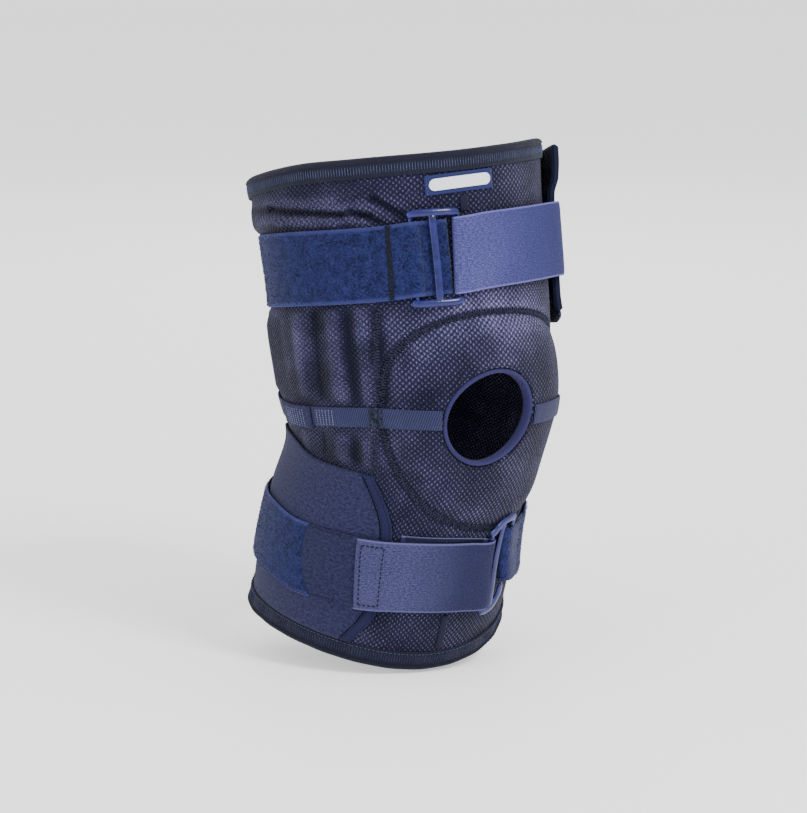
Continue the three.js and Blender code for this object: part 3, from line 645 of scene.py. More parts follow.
def knit(name, low, high, slant):
    """Fine wales that slant across the cloth."""
    kit = Kit(name, 0.8, **CLOTH)
    u, v, uv = kit.cloth()
    sway = kit.noise(uv, 16.0, 1.0)
    wales = (u * slant + v + (sway - 0.5) * (9 * MM)).wave(1.25 * MM)
    courses = (u - v * 0.4).wave(1.1 * MM)
    yarn = kit.noise(uv, 3000.0, 2.0, 0.6)
    blotch = kit.noise(kit.stretched(uv, 0.6, 1.0), 700.0, 3.0, 0.65)
    shade = (wales * 0.45 + courses * 0.2 + (yarn - 0.5) * 0.9 + (blotch - 0.5) * 4.0).step(-1.2, 1.3)
    normal = kit.bump(wales * 0.7 + courses * 0.4 + (yarn - 0.5) * 0.6, 0.14 * MM)
    return kit.finish(kit.blend(shade, low, high), normal)


def brushed_loop(name, half):
    """A mat of tangled yarn loops, thin and pale along its edges."""
    kit = Kit(name, 0.95, **{**CLOTH, "Sheen_Weight": 0.12})
    _, v, uv = kit.cloth()
    tangle = kit.noise(uv, 700.0, 3.0, 0.65)
    tufts = kit.noise(uv, 190.0, 2.0)
    fibre = kit.noise(uv, 2300.0, 2.0, 0.6)
    height = tangle * 0.6 + fibre * 0.35 + tufts * 0.3
    shade = height.step(0.5, 0.8)
    deep = kit.blend(kit.noise(uv, 45.0).step(0.35, 0.65), (4, 8, 28), (9, 16, 46))
    body = kit.blend(shade, deep, (42, 48, 98))
    edge = v.distance(0.0).step(half - 2.6 * MM, half - 1.2 * MM)
    edged = kit.blend(edge * 0.65, body, (54, 58, 108))
    return kit.finish(edged, kit.bump(height, 0.9 * MM))


LOOP_WIDTH = 41 * MM
ELASTIC_WIDTH = 42 * MM
LOWER_WIDTH = 41 * MM
# The last pair of each elastic gives where its painted shade starts and where it is full, in millimetres
# along it.
UPPER_ELASTIC = woven_elastic(
    "upper_woven_elastic", (24, 27, 74), (94, 93, 150), ELASTIC_WIDTH / 2, (38, 105),
)
LOWER_ELASTIC = woven_elastic(
    "lower_woven_elastic", (20, 23, 52), (82, 81, 122), LOWER_WIDTH / 2, (30, 66),
)
PANEL_KNIT = knit("calf_knit", (5, 7, 28), (54, 55, 90), 0.8)
STRAP_KNIT = knit("strap_knit", (5, 7, 26), (50, 52, 86), -0.9)
LOOP_CLOTH = brushed_loop("brushed_loop", LOOP_WIDTH / 2)
print("made", UPPER_ELASTIC.name, PANEL_KNIT.name, LOOP_CLOTH.name)

# %% Plastic, label and thread


def glossy_plastic():
    """Moulded plastic: one deep blue, a soft gloss, and flow marks in its skin."""
    kit = Kit("blue_plastic", 0.3, Coat_Weight=0.2, Coat_Roughness=0.15, Specular_IOR_Level=0.3)
    cloudy = kit.noise(kit.spot(), 160.0, 3.0)
    fine = kit.noise(kit.spot(), 900.0, 2.0)
    shade = kit.blend(cloudy.step(0.35, 0.65), (14, 18, 68), (26, 31, 94))
    return kit.finish(shade, kit.bump(cloudy + fine * 0.4, 0.12 * MM), cloudy * 0.2 + 0.16)


def plain_weave(name, low, high, pitch=0.7 * MM, roughness=0.8):
    kit = Kit(name, roughness, **CLOTH)
    u, v, uv = kit.cloth()
    weave = u.wave(pitch) * v.wave(pitch)
    yarn = kit.noise(uv, 3400.0)
    shade = (weave * 0.5 + (yarn - 0.5)).step(-0.7, 0.8)
    return kit.finish(kit.blend(shade, low, high), kit.bump(weave + yarn, 0.08 * MM))


def thread(name, low, high, scale=1800.0):
    """Sewing thread: fine twisted plies, read from the place on the object."""
    kit = Kit(name, 0.6, **CLOTH)
    plies = kit.noise(kit.spot(), scale, 2.0)
    return kit.finish(kit.blend(plies.step(0.35, 0.65), low, high), kit.bump(plies, 0.1 * MM))


PLASTIC = glossy_plastic()
LABEL = plain_weave("label_weave", (24, 28, 66), (52, 58, 106))
PATCH = plain_weave("bare_patch", (226, 226, 238), (248, 248, 252), 0.5 * MM, 0.55)
FLAP_TAPE = ribbed("flap_binding", (10, 11, 28), (30, 33, 60), 0.8 * MM, 0.12 * MM)
TAPE = plain_weave("tape_weave", (14, 15, 32), (34, 35, 56))
DARK_THREAD = thread("dark_thread", (10, 12, 26), (26, 28, 50))
NAVY_THREAD = thread("navy_thread", (20, 22, 46), (56, 58, 90))
BLUE_THREAD = thread("blue_thread", (50, 56, 118), (84, 92, 156))
RIB_THREAD = thread("rib_thread", (42, 46, 70), (76, 82, 112))
TACK_THREAD = thread("tack_thread", (8, 10, 20), (26, 30, 40))
COVER_THREAD = thread("cover_thread", (8, 10, 22), (44, 46, 68), 900.0)
PALE_THREAD = thread("pale_thread", (80, 84, 118), (132, 136, 170))
PILE_YARN = thread("pile_yarn", (5, 8, 28), (64, 68, 122), 520.0)
print("made", PLASTIC.name, LABEL.name, DARK_THREAD.name)

# %% [markdown]
# ## The padded sleeve
# The real sleeve is cut from flat spacer mesh, bound and sewn into a tube. Cloth simulation
# would blur the sewn groove and the stay channels, so the relief formulas move the points of a
# fine grid instead. Faces inside the kneecap hole are left out, and the points on its edge are
# drawn onto the oval, so that the hole has a clean rim under its binding.

# %% Cloth coordinates and the kneecap hole
CLOTH_DEGREE = 1.36 * MM
BINDING_HEIGHT = 11.5 * MM
BINDING_THICKNESS = 1.2 * MM
HOLE_RADIUS = 25.1 * MM
HOLE_STRETCH = 2.5 * MM
HOLE_TURN = 30
RING_WIDTH = 3 * MM

heights = np.linspace(-0.1, 1.1, 241)
cloth_up = run_along(place(-30, heights))


def cloth_uv(angle, height):
    """Metres along and up the sleeve's cloth."""
    angle, height = np.broadcast_arrays(angle, height)
    return np.stack([angle * CLOTH_DEGREE, np.interp(height, heights, cloth_up)], -1)


def hole_edge(turn, extra):
    """Angle and height of the kneecap hole's oval, moved out by extra."""
    turned = np.radians(turn)
    radius = HOLE_RADIUS + HOLE_STRETCH * np.cos(2 * np.radians(turn - HOLE_TURN)) + extra
    return radius * np.cos(turned) / DEGREE, HOLE_HEIGHT + radius * np.sin(turned) / WHOLE


def soft_waves(angle, height, size=0.35 * MM):
    """Slow, uneven swells of worn padding."""
    a, h = np.radians(angle), height * 2 * math.pi
    swell = np.sin(7 * a + 2.1 * h) + np.sin(11 * a - 3.7 * h + 1.3) + np.sin(4 * a + 6.3 * h + 2.4)
    return size * swell / 3


print(f"the cloth at the front is {cloth_up[-1] / MM:.0f} mm long, a little past both rims")

# %% The sleeve
SLEEVE_ROWS = 168
FINE_ANGLES = np.arange(-140, 76, 1.0)
COARSE_ANGLES = np.arange(76, 219, 2.5)
# The painted highlight on the front of the pad: its middle, its size and its strength.
LIT_PATCH = {"angle": 6, "height": 0.665, "wide": 34, "high": 0.065, "painted_shading": 1.3}


def painted_light_and_shade(angle, height):
    """Painted light and shade: below 0 as painted shade in creases, above 0 as painted highlight on ridges
    and on the front of the pad.
    """
    steps = [(a, h) for a in (-4, -2, 0, 2, 4) for h in (-0.014, -0.007, 0, 0.007, 0.014)]
    around = sum(relief(angle + a, height + h) for a, h in steps) / len(steps)
    ridge = (relief(angle, height) - around) / MM
    sideways = (angle - LIT_PATCH["angle"]) / LIT_PATCH["wide"]
    upward = (height - LIT_PATCH["height"]) / LIT_PATCH["high"]
    return np.clip(ridge * 0.8, -0.8, 0.4) + LIT_PATCH["painted_shading"] * np.exp(-sideways**2 - upward**2)


def sleeve():
    angle = np.concatenate([FINE_ANGLES, COARSE_ANGLES])[:, None]
    inset = BINDING_THICKNESS + GAP
    low = rim_bottom(angle) + inset / scale_at(angle, 0)[1]
    high = rim_top(angle) - inset / scale_at(angle, 1)[1]
    height = low + (high - low) * np.linspace(0, 1, SLEEVE_ROWS)
    angle = np.broadcast_to(angle, height.shape).copy()
    sideways, upward = angle * DEGREE, (height - HOLE_HEIGHT) * WHOLE
    turn = np.degrees(np.arctan2(upward, sideways))
    edge_angle, edge_height = hole_edge(turn, RING_WIDTH + GAP)
    edge = np.hypot(edge_angle * DEGREE, (edge_height - HOLE_HEIGHT) * WHOLE)
    inside = (np.hypot(sideways, upward) < edge) & (np.abs(angle) < 90)
    around = np.roll(inside, -1, axis=0)
    gone = inside[:, :-1] & inside[:, 1:] & around[:, :-1] & around[:, 1:]
    angle, height = np.where(inside, edge_angle, angle), np.where(inside, edge_height, height)
    outer = place(angle, height, relief(angle, height) + soft_waves(angle, height))
    inner = place(angle, height, -PAD_THICKNESS)
    uv = cloth_uv(angle, height)
    uv = np.concatenate([uv, uv[:1] + [[[360 * CLOTH_DEGREE, 0]]]])
    # Painted light and shade for each point, kept as an attribute that the air mesh reads.
    painted_shading = painted_light_and_shade(angle, height)
    return shell("padded_sleeve", outer, inner, uv, AIR_MESH, closed=True, keep=~gone, painted_shading=painted_shading)


SLEEVE = sleeve()
print("sleeve faces:", len(SLEEVE.data.polygons))

# %% [markdown]
# ## Bindings and the kneecap edge
# The raw edges of the padding are wrapped in tape. At the rims the tape shows a ribbed band and
# a smooth rolled lip, at the kneecap hole only a fat roll. Each is one closed section swept round
# its edge, which keeps the roll even all the way, as a binding foot on a sewing machine does.
# Behind the outer side the calf rim flares out a little.

# %% Rim bindings
LIP_HEIGHT = 3.0 * MM
TOP_LIP = 3.9 * MM
BOTTOM_LIP = 4.7 * MM
BAND_LIFT = GAP + BINDING_THICKNESS
INNER_BAND = 9 * MM
FLARE = 1.5 * MM
FLARE_ANGLE = -124
FLARE_SPREAD = 34


def binding_section(lip_half):
    """Distance down from the rim, and lift, round the folded tape. The lip's points come first."""
    middle = -PAD_THICKNESS / 2
    turn = np.linspace(0, math.pi, 15)
    lip = np.stack([LIP_HEIGHT * (1 - np.sin(turn)), middle + lip_half * np.cos(turn)], -1)
    inside = middle - lip_half + 0.5 * MM
    lining = [(INNER_BAND, inside), (INNER_BAND, -PAD_THICKNESS - GAP)]
    seat = [(BINDING_THICKNESS, -PAD_THICKNESS - GAP), (BINDING_THICKNESS, GAP), (BINDING_HEIGHT, GAP)]
    hem = [(BINDING_HEIGHT, BAND_LIFT - 0.5 * MM), (BINDING_HEIGHT - 0.4 * MM, BAND_LIFT - 0.1 * MM)]
    share = np.linspace(0, 1, 6)
    down = np.linspace(BINDING_HEIGHT - 1.2 * MM, LIP_HEIGHT + 0.9 * MM, 6)
    band = np.stack([down, BAND_LIFT + 0.1 * MM * np.sin(share * math.pi)], -1)
    dip = [(LIP_HEIGHT + 0.3 * MM, BAND_LIFT - 0.25 * MM)]
    return np.concatenate([lip, lining, seat, hem, band, dip]), len(turn) - 1


def off_rim(direction, angles, down, lift):
    """Places a distance in from the upper rim (1) or the lower one (-1), at a lift."""
    upper = direction > 0
    rim = (rim_top if upper else rim_bottom)(angles)
    flare = 0 if upper else FLARE * np.exp(-(((wrap(angles) - FLARE_ANGLE) / FLARE_SPREAD) ** 2))
    return place(angles, rim - direction * down / scale_at(angles, float(upper))[1], lift + flare)


def binding(name, direction, lip_half):
    angles = np.arange(-180, 180, 1.0)[:, None]
    section, lip_faces = binding_section(lip_half)
    wobble = 0.12 * MM * np.sin(np.radians(angles) * 23)
    rings = off_rim(direction, angles, section[:, 0], section[:, 1] + wobble)
    piece = swept(name, rings, section_uv(rings), BINDING)
    piece.data.materials.append(LIP)
    smooth = np.tile(np.arange(len(section)) < lip_faces, len(angles))
    piece.data.polygons.foreach_set("material_index", smooth.astype(np.int32))
    return piece


TOP_BINDING = binding("thigh_binding", 1, TOP_LIP)
BOTTOM_BINDING = binding("calf_binding", -1, BOTTOM_LIP)
print("binding faces:", len(TOP_BINDING.data.polygons), len(BOTTOM_BINDING.data.polygons))

# %% The kneecap binding
RING_MIDDLE = -0.4 * MM
RING_HALF = 3.0 * MM
RING_CORNER = 2.5


def squared(wave, corner):
    """A sine or cosine that bulges towards the corners of an oval, more for a higher corner."""
    return np.sign(wave) * np.abs(wave) ** (2 / corner)


def kneecap_ring():
    turn = np.arange(0, 360, 2.5)[:, None]
    round_it = np.radians(np.arange(0, 360, 15.0))
    out = RING_WIDTH / 2 * (1 - squared(np.cos(round_it), RING_CORNER))
    lift = RING_MIDDLE + RING_HALF * squared(np.sin(round_it), RING_CORNER)
    rings = place(*hole_edge(turn, out), lift)
    return swept("kneecap_binding", rings, section_uv(rings), RING_EDGE)


KNEECAP_RING = kneecap_ring()
print("kneecap ring faces:", len(KNEECAP_RING.data.polygons))

# %% [markdown]
# ## Straps, bands and tapes
# A strap is a ribbon that follows a route round the tube: some rows of angle, height and lift,
# and where it folds back over a bar the angle turns round while the lift goes up. A curve with
# a flat bevel would twist in those folds. Laying the ribbon across the tube's own surface keeps
# it flat against the sleeve, and a thickness that closes towards the edges rounds them. A slant
# or a bow moves its edges round the tube, a tilt lifts one edge, all three for worn cloth.

# %% Ribbons along a route


class Ribbon:
    """A flat strap along a route of places, with a width and a thickness."""

    def __init__(self, route, width, thickness, on_relief=False, ends=None):
        run = run_along(np.stack([route["angle"] * DEGREE, route["lift"] * MM], -1))
        none = np.zeros(len(run))
        self.rows = {"run": run, "slant": none, "bow": none, "tilt": none, **route}
        for column in ("lift", "tilt"):
            self.rows[column] = self.rows[column] * MM
        self.width, self.thickness, self.length = width, thickness, run[-1]
        self.on_relief, self.ends = on_relief, ends

    def run_at(self, angle, start=0.0, end=1.0):
        """Where the ribbon passes an angle, between two shares of its length."""
        runs = np.linspace(start, end, 2001) * self.length
        return runs[np.argmin(np.abs(follow(self.rows, "run", "angle", runs) - angle))]

    def spot(self, run, share, above=0.0):
        """A point of the ribbon's middle layer, or at a height above it. share goes from -1 to 1."""
        run, share = np.broadcast_arrays(np.asarray(run, float), np.asarray(share, float))
        angle, middle, lift, slant, bow, tilt = (
            follow(self.rows, "run", column, run)
            for column in ("angle", "height", "lift", "slant", "bow", "tilt")
        )
        angle = angle + share * slant + share * share * bow
        lift = lift + share * tilt
        half = self.width / 2 * (1 if self.ends is None else self.ends(run, self.length))
        height = middle + share * half / scale_at(angle, middle)[1]
        if self.on_relief:
            lift = lift + relief_under(angle, middle)
        return place(angle, height, lift + above)

    def normal(self, run, share):
        probe = 0.4 * MM
        ahead = self.spot(run + probe, share) - self.spot(run - probe, share)
        upward = self.spot(run, share + 0.05) - self.spot(run, share - 0.05)
        normal = np.cross(ahead, upward)
        return normal / np.linalg.norm(normal, axis=-1, keepdims=True)

    def piece(self, name, material, step=1.2 * MM, across=22, swell=None):
        """The ribbon as a closed shell. swell adds height to both faces."""
        runs = np.linspace(0, self.length, max(2, math.ceil(self.length / step)) + 1)[:, None]
        shares = np.sin(np.linspace(-math.pi / 2, math.pi / 2, across + 1))[None]
        middle, normal = self.spot(runs, shares), self.normal(runs, shares)
        round_edge = np.sqrt(np.maximum(1 - np.abs(shares) ** 12, 0.02))
        near_end = np.minimum(runs, self.length - runs) / (self.thickness / 2)
        round_end = np.sqrt(np.clip(near_end * (2 - np.minimum(near_end, 1)), 0.02, 1))
        half = self.thickness / 2 * round_edge * round_end
        half = half + (0 if swell is None else swell(runs, shares))
        offset = half[..., None] * normal
        uv = np.stack(np.broadcast_arrays(runs, shares * self.width / 2), -1)
        return shell(name, middle + offset, middle - offset, uv, material)


print("ribbons are ready")

# %% Routes
LOOP_THICKNESS = 1.8 * MM
ELASTIC_THICKNESS = 1.4 * MM
KNIT_THICKNESS = 1.1 * MM
TAIL_WIDTH = 34 * MM

upper_loop_route = table(
    "angle height lift tilt",
    (-13.6, 0.79, 1.3, 0),
    (-22.4, 0.79, 1.35, 0),
    (-25, 0.79, 2.7, 0),
    (-26.2, 0.79, 5.0, 0),
    (-28.8, 0.79, 5.0, 0),
    (-32, 0.789, 3.3, 0),
    (-38, 0.788, 2.5, 0),
    (-44, 0.788, 1.5, 0),
    (-60, 0.791, 1.4, 0),
    (-80, 0.796, 1.35, 0),
    (-95, 0.798, 0.8, -0.2),
    (-110, 0.799, -0.6, -0.6),
    (-126, 0.8, -1.8, -0.9),
    (-142, 0.8, -0.6, -0.6),
    (-157, 0.8, 0.8, -0.2),
    (-180, 0.8, 1.5, 0),
)
upper_elastic_route = table(
    "angle height lift slant",
    (7, 0.795, 1.2, 0),
    (-5, 0.792, 1.2, 0.9),
    (-10.2, 0.79, 1.2, 0.9),
    (-12.3, 0.79, 3.2, 0.9),
    (-10.2, 0.79, 5.2, 0.9),
    (-6, 0.791, 4.9, 0.9),
    (0, 0.794, 3.6, 0),
    (9, 0.796, 3.1, 0),
    (25, 0.799, 3.4, 0),
    (45, 0.803, 6.4, 0),
    (58, 0.804, 9.0, 0),
    (70, 0.804, 8.9, 0),
    (84, 0.803, 6.4, 0),
    (110, 0.801, 5.6, 0),
    (150, 0.8, 5.6, 0),
    (172, 0.8, 5.5, 0),
    (186, 0.8, 3.7, 0),
    (202, 0.8, 2.8, 0),
)
lower_loop_route = table(
    "angle height lift slant bow",
    (-75.8, 0.186, 2.9, -3.5, 4.1),
    (-85, 0.181, 3.2, -2.6, 2.8),
    (-101, 0.178, 3.3, 0, 0),
    (-118, 0.167, 3.5, 0, 0),
    (-135, 0.155, 3.6, 0, 0),
    (-160, 0.145, 3.7, 0, 0),
    (-200, 0.142, 3.5, 0, 0),
    (-240, 0.155, 3.5, 0, 0),
    (-272, 0.184, 3.9, 0, 0),
    (-288, 0.202, 1.8, 0, 0),
    (-302, 0.218, 1.6, 0, 0),
    (-314.6, 0.229, 1.6, 0, 0),
)
lower_knit_route = table(
    "angle height lift",
    (-77, 0.185, 2.6),
    (-60, 0.194, 2.8),
    (-48, 0.199, 3.5),
    (-40, 0.203, 3.5),
)
lower_elastic_route = table(
    "angle height lift slant",
    (-48.5, 0.198, 5.2, -1.7),
    (-38, 0.203, 5.1, -0.7),
    (-31, 0.205, 3.8, 0),
    (-20, 0.207, 3.0, 0),
    (-8, 0.2075, 3.2, 0),
    (1.9, 0.207, 4.2, -0.5),
    (8.9, 0.205, 5.8, -1),
    (13.3, 0.204, 5.8, -1.2),
    (16.1, 0.204, 3.6, -1.2),
    (13.3, 0.205, 1.4, -1.2),
    (1.9, 0.213, 1.2, -0.5),
    (-12, 0.217, 1.2, 0),
    (-32, 0.216, 1.2, 0),
)
lower_tail_route = table(
    "angle height lift slant tilt",
    (45, 0.229, 1.5, 0, -0.5),
    (34.8, 0.232, 1.6, -1.6, -0.5),
    (25, 0.234, 1.8, -2.4, 0),
    (21.8, 0.235, 3.9, -2.4, 0),
    (25, 0.236, 6.1, -2.4, -0.4),
    (31, 0.232, 4.9, -1, -1.6),
    (39, 0.226, 3.6, 0, -1.6),
    (52, 0.216, 3.4, 0, -1.4),
    (70, 0.206, 3.4, 0, -0.6),
)
print("routes:", 6)

# %% The two straps
TAIL_CORNER = 8 * MM
TACK_ANGLE = -37
TACK_DENT = 0.6 * MM
TACK_WIDTH = 3.8 * MM


def tail_ends(run, length):
    return 1 - 0.25 * ease((TAIL_CORNER - (length - run)) / TAIL_CORNER)


def plush(runs, shares):
    """The uneven depth of brushed loops."""
    return 0.14 * MM * np.sin(runs / MM * 1.9 + 3 * shares) * np.sin(shares * 31 + runs / MM * 0.7)


UPPER_LOOP = Ribbon(upper_loop_route, LOOP_WIDTH, LOOP_THICKNESS)
UPPER_BAND = Ribbon(upper_elastic_route, ELASTIC_WIDTH, ELASTIC_THICKNESS)
TACK_RUN = UPPER_LOOP.run_at(TACK_ANGLE, 0.1)
LOWER_LOOP = Ribbon(lower_loop_route, LOWER_WIDTH, LOOP_THICKNESS)
LOWER_KNIT = Ribbon(lower_knit_route, LOWER_WIDTH, KNIT_THICKNESS)
LOWER_BAND = Ribbon(lower_elastic_route, LOWER_WIDTH, ELASTIC_THICKNESS)
TAIL = Ribbon(lower_tail_route, TAIL_WIDTH, LOOP_THICKNESS, ends=tail_ends)


def tacked(runs, shares):
    """The loops are pressed flat where the fold is sewn down."""
    return plush(runs, shares) - TACK_DENT * np.exp(-(((runs - TACK_RUN) / TACK_WIDTH * 2) ** 4))


straps = {
    "upper_loop_strap": UPPER_LOOP.piece("thigh_loop_strap", LOOP_CLOTH, swell=tacked),
    "upper_elastic_strap": UPPER_BAND.piece("thigh_elastic_strap", UPPER_ELASTIC),
    "lower_loop_strap": LOWER_LOOP.piece("calf_loop_strap", LOOP_CLOTH, swell=plush),
    "lower_knit_strap": LOWER_KNIT.piece("calf_knit_strap", STRAP_KNIT),
    "lower_elastic_strap": LOWER_BAND.piece("calf_elastic_strap", LOWER_ELASTIC),
    "lower_tail": TAIL.piece("calf_strap_tail", LOOP_CLOTH, swell=plush),
}
print("strap faces:", {name: len(piece.data.polygons) for name, piece in straps.items()})

# %% Knee bands, label and tapes
BAND_WIDTH = 11 * MM
BAND_THICKNESS = 1 * MM
BAND_HEIGHT = 0.492
BAND_END = 128
BAND_SAG = 0.028
BAND_BEND = (40, 70)
TAB_WIDTH = 13 * MM
LABEL_ANGLE = -6.4
LABEL_MIDDLE = 0.9385
LABEL_THICKNESS = 0.8 * MM
PATCH_THICKNESS = 0.5 * MM
TAPE_WIDTH = 4.6 * MM
TAPE_THICKNESS = 0.7 * MM


def band_height(angle):
    return BAND_HEIGHT - BAND_SAG * past(np.abs(angle), BAND_BEND)


def level_route(angles, heights_of, lift):
    """A route that keeps one lift, in millimetres."""
    angles = np.array(angles, float)
    return {"angle": angles, "height": heights_of(angles), "lift": np.full(len(angles), lift)}


def pill_ends(run, length):
    """Half-round ends: the width share near both ends."""
    radius = 3.3 * MM
    near = np.clip(np.minimum(run, length - run) / radius, 0, 1)
    return np.sqrt(np.maximum(near * (2 - near), 0.01))


def label_ribbon(width, height, thickness, lift, ends=None):
    half = width / 2 / DEGREE
    angles = np.linspace(LABEL_ANGLE - half, LABEL_ANGLE + half, 5)
    route = level_route(angles, lambda a: np.full(len(a), LABEL_MIDDLE), lift / MM)
    return Ribbon(route, height, thickness, ends=ends)


band_start = float(hole_edge(0, RING_WIDTH)[0]) + 0.3
band_lift = (GAP + 0.1 * MM + BAND_THICKNESS / 2) / MM
outer_band, inner_band = (
    Ribbon(
        level_route(np.linspace(side * band_start, side * BAND_END, 13), band_height, band_lift),
        BAND_WIDTH, BAND_THICKNESS, on_relief=True,
    )
    for side in (-1, 1)
)
tab_lift = band_lift + (BAND_THICKNESS + GAP) / MM
tab_route = level_route([-104, -96, -88, -80], lambda a: band_height(a) - 0.003, tab_lift)
KNEE_TAB = Ribbon(tab_route, TAB_WIDTH, BAND_THICKNESS, on_relief=True)
patch_lift = GAP * 2 + LABEL_THICKNESS + PATCH_THICKNESS / 2
LABEL_TAB = label_ribbon(39 * MM, 11 * MM, LABEL_THICKNESS, GAP + LABEL_THICKNESS / 2)
LABEL_PATCH = label_ribbon(35 * MM, 6.6 * MM, PATCH_THICKNESS, patch_lift, pill_ends)

small_cloths = {
    "knee_band_lateral": outer_band.piece("outer_knee_band", WEBBING, across=12),
    "knee_band_medial": inner_band.piece("inner_knee_band", WEBBING, across=12),
    "knee_band_tab": KNEE_TAB.piece("knee_band_tab_cloth", STRAP_KNIT, across=12),
    "label_tab": LABEL_TAB.piece("label_cloth", LABEL, across=12),
    "label_patch": LABEL_PATCH.piece("label_bare_patch", PATCH, step=0.4 * MM, across=12),
}
print("small cloths:", list(small_cloths))

# %% [markdown]
# ## Panels
# The calf panel, its bound front edges, the thigh flap and the tapes are cloth between two
# angles and two heights. One function lays a grid between those four edges, and a thickness
# that falls off near them turns the flap's edge round, as the turned hem of a real one is.

# %% A panel between curved edges


def panel(name, edges, lifts, material, columns, rows, soften=None):
    """edges holds the start and end angle by rise, and the low and high height by angle."""
    start, end, low, high = edges
    rise = np.linspace(0, 1, rows + 1)[None]
    share = np.linspace(0, 1, columns + 1)[:, None]
    angle = start(rise) + (end(rise) - start(rise)) * share
    height = low(angle) + (high(angle) - low(angle)) * rise
    inner, outer = (lift(angle, height) for lift in lifts)
    if soften is not None:
        degree, whole = scale_at(angle, height)
        to_side = np.minimum(np.abs(angle - start(rise)), np.abs(end(rise) - angle)) * degree
        to_hem = np.minimum(height - low(angle), high(angle) - height) * whole
        near = np.clip(np.minimum(to_side, to_hem) / soften, 0, 1)
        closed = (1 - np.sqrt(np.maximum(near * (2 - near), 0.02))) / 2
        inner, outer = inner + (outer - inner) * closed, outer - (outer - inner) * closed
    uv = cloth_uv(angle, height)
    return shell(name, place(angle, height, outer), place(angle, height, inner), uv, material)


CALF_TOP = 0.383
CALF_TOP_BEHIND = 0.022
CALF_RISE = (-80, -26)
CALF_FALL = (-114, -28)
PANEL_THICKNESS = 1.2 * MM
PANEL_LIFT = GAP + 0.3 * MM
EDGE_WIDTH = 7 * MM
EDGE_PROUD = 0.6 * MM
EDGE_SPAN = EDGE_WIDTH / DEGREE
MEDIAL_SHIFT = 52
calf_front = table("rise angle", (0.0, -45.9), (0.23, -36.9), (0.5, -35.3), (0.73, -36.7), (1.0, -50.1))


def calf_low(angle):
    return rim_bottom(angle) + (BINDING_HEIGHT + GAP) / scale_at(angle, 0)[1]


def calf_high(angle):
    return CALF_TOP + CALF_TOP_BEHIND * (past(angle, CALF_RISE) - past(angle, CALF_FALL))


def lateral_front(rise):
    return follow(calf_front, "rise", "angle", rise)


def medial_front(rise):
    return -360 - lateral_front(rise) + MEDIAL_SHIFT


def panel_inner(angle, height):
    return PANEL_LIFT + relief(angle, height)


def panel_outer(angle, height):
    return PANEL_LIFT + PANEL_THICKNESS + relief(angle, height)


def edge_outer(angle, height):
    return panel_outer(angle, height) + EDGE_PROUD


def shifted(edge, by):
    """An upright edge moved round by some degrees."""
    return lambda rise: edge(rise) + by


def calf_cloth(name, start, end, outer, material, columns, rows, soften=None):
    edges = (start, end, calf_low, calf_high)
    return panel(name, edges, (panel_inner, outer), material, columns, rows, soften)


gap_span = 2 * GAP / DEGREE
lateral_back, medial_back = shifted(lateral_front, -EDGE_SPAN), shifted(medial_front, EDGE_SPAN)
seen = (shifted(lateral_back, -gap_span), shifted(medial_back, gap_span))
bound = (edge_outer, EDGE_TAPE, 12, 60, 1.6 * MM)
calf_pieces = {
    "calf_panel": calf_cloth("calf_knit_panel", *seen, panel_outer, PANEL_KNIT, 190, 44),
    "calf_panel_edge_lateral": calf_cloth("outer_calf_panel_edge", lateral_back, lateral_front, *bound),
    "calf_panel_edge_medial": calf_cloth("inner_calf_panel_edge", medial_front, medial_back, *bound),
}
print("calf pieces:", list(calf_pieces))

# %% The thigh flap and the tapes
FLAP_START = 64
FLAP_END = 175
FLAP_LOW = 0.635
FLAP_HIGH = 0.975
FLAP_CORNER = 7
FLAP_THICKNESS = 3.2 * MM
FLAP_STAND_OFF = 2.6 * MM
FLAP_SETTLE = 22
FLAP_BINDING = 2.2
FLAP_LEAN = 2.6 * MM
HEM_PROUD = 0.7 * MM
FLAP_UPPER_BEND = (0.86, 0.11)
FLAP_LOWER_BEND = (0.7, -0.07)
FLAP_RIM_STEP = (0.895, 0.03)
FLAP_ROUND = 0.024
FLAP_PEAK = 0.022
FLAP_PEAK_BEND = (90, -30)


def flap_lift(angle, height):
    """The flap stands off at its free edge, most at its two ends, and steps up over the binding."""
    free = 1 - past(angle, (FLAP_START, FLAP_SETTLE))
    ends = past(height, FLAP_UPPER_BEND) + 0.6 * past(height, FLAP_LOWER_BEND)
    stand_off = (FLAP_STAND_OFF + FLAP_LEAN * ends) * free
    over_rim = (BINDING_THICKNESS + 0.5 * MM) * past(height, FLAP_RIM_STEP)
    return GAP + 0.3 * MM + stand_off + over_rim


def flap_outer(angle, height):
    return flap_lift(angle, height) + FLAP_THICKNESS + soft_waves(angle, height, 0.25 * MM)


def flap_round(angle):
    """The round corner at the flap's free edge, as a share of the sleeve's height."""
    near = np.maximum(0, FLAP_START + FLAP_CORNER - angle) / FLAP_CORNER
    return FLAP_ROUND * (1 - np.sqrt(np.maximum(0, 1 - near * near)))


def flap_low(angle):
    return FLAP_LOW + flap_round(angle)


def flap_high(angle):
    return FLAP_HIGH + FLAP_PEAK * past(angle, FLAP_PEAK_BEND) - 0.15 * flap_round(angle)


def steady(value):
    """An edge or a lift that is the same everywhere."""
    return lambda along, *_: np.full(np.shape(along), float(value))


def tape(name, low, high, angle):
    half = TAPE_WIDTH / 2 / DEGREE
    edges = (steady(angle - half), steady(angle + half), steady(low), steady(high))
    lifts = (steady(GAP), steady(GAP + TAPE_THICKNESS))
    return panel(name, edges, lifts, TAPE, 8, 24, soften=0.5 * MM)


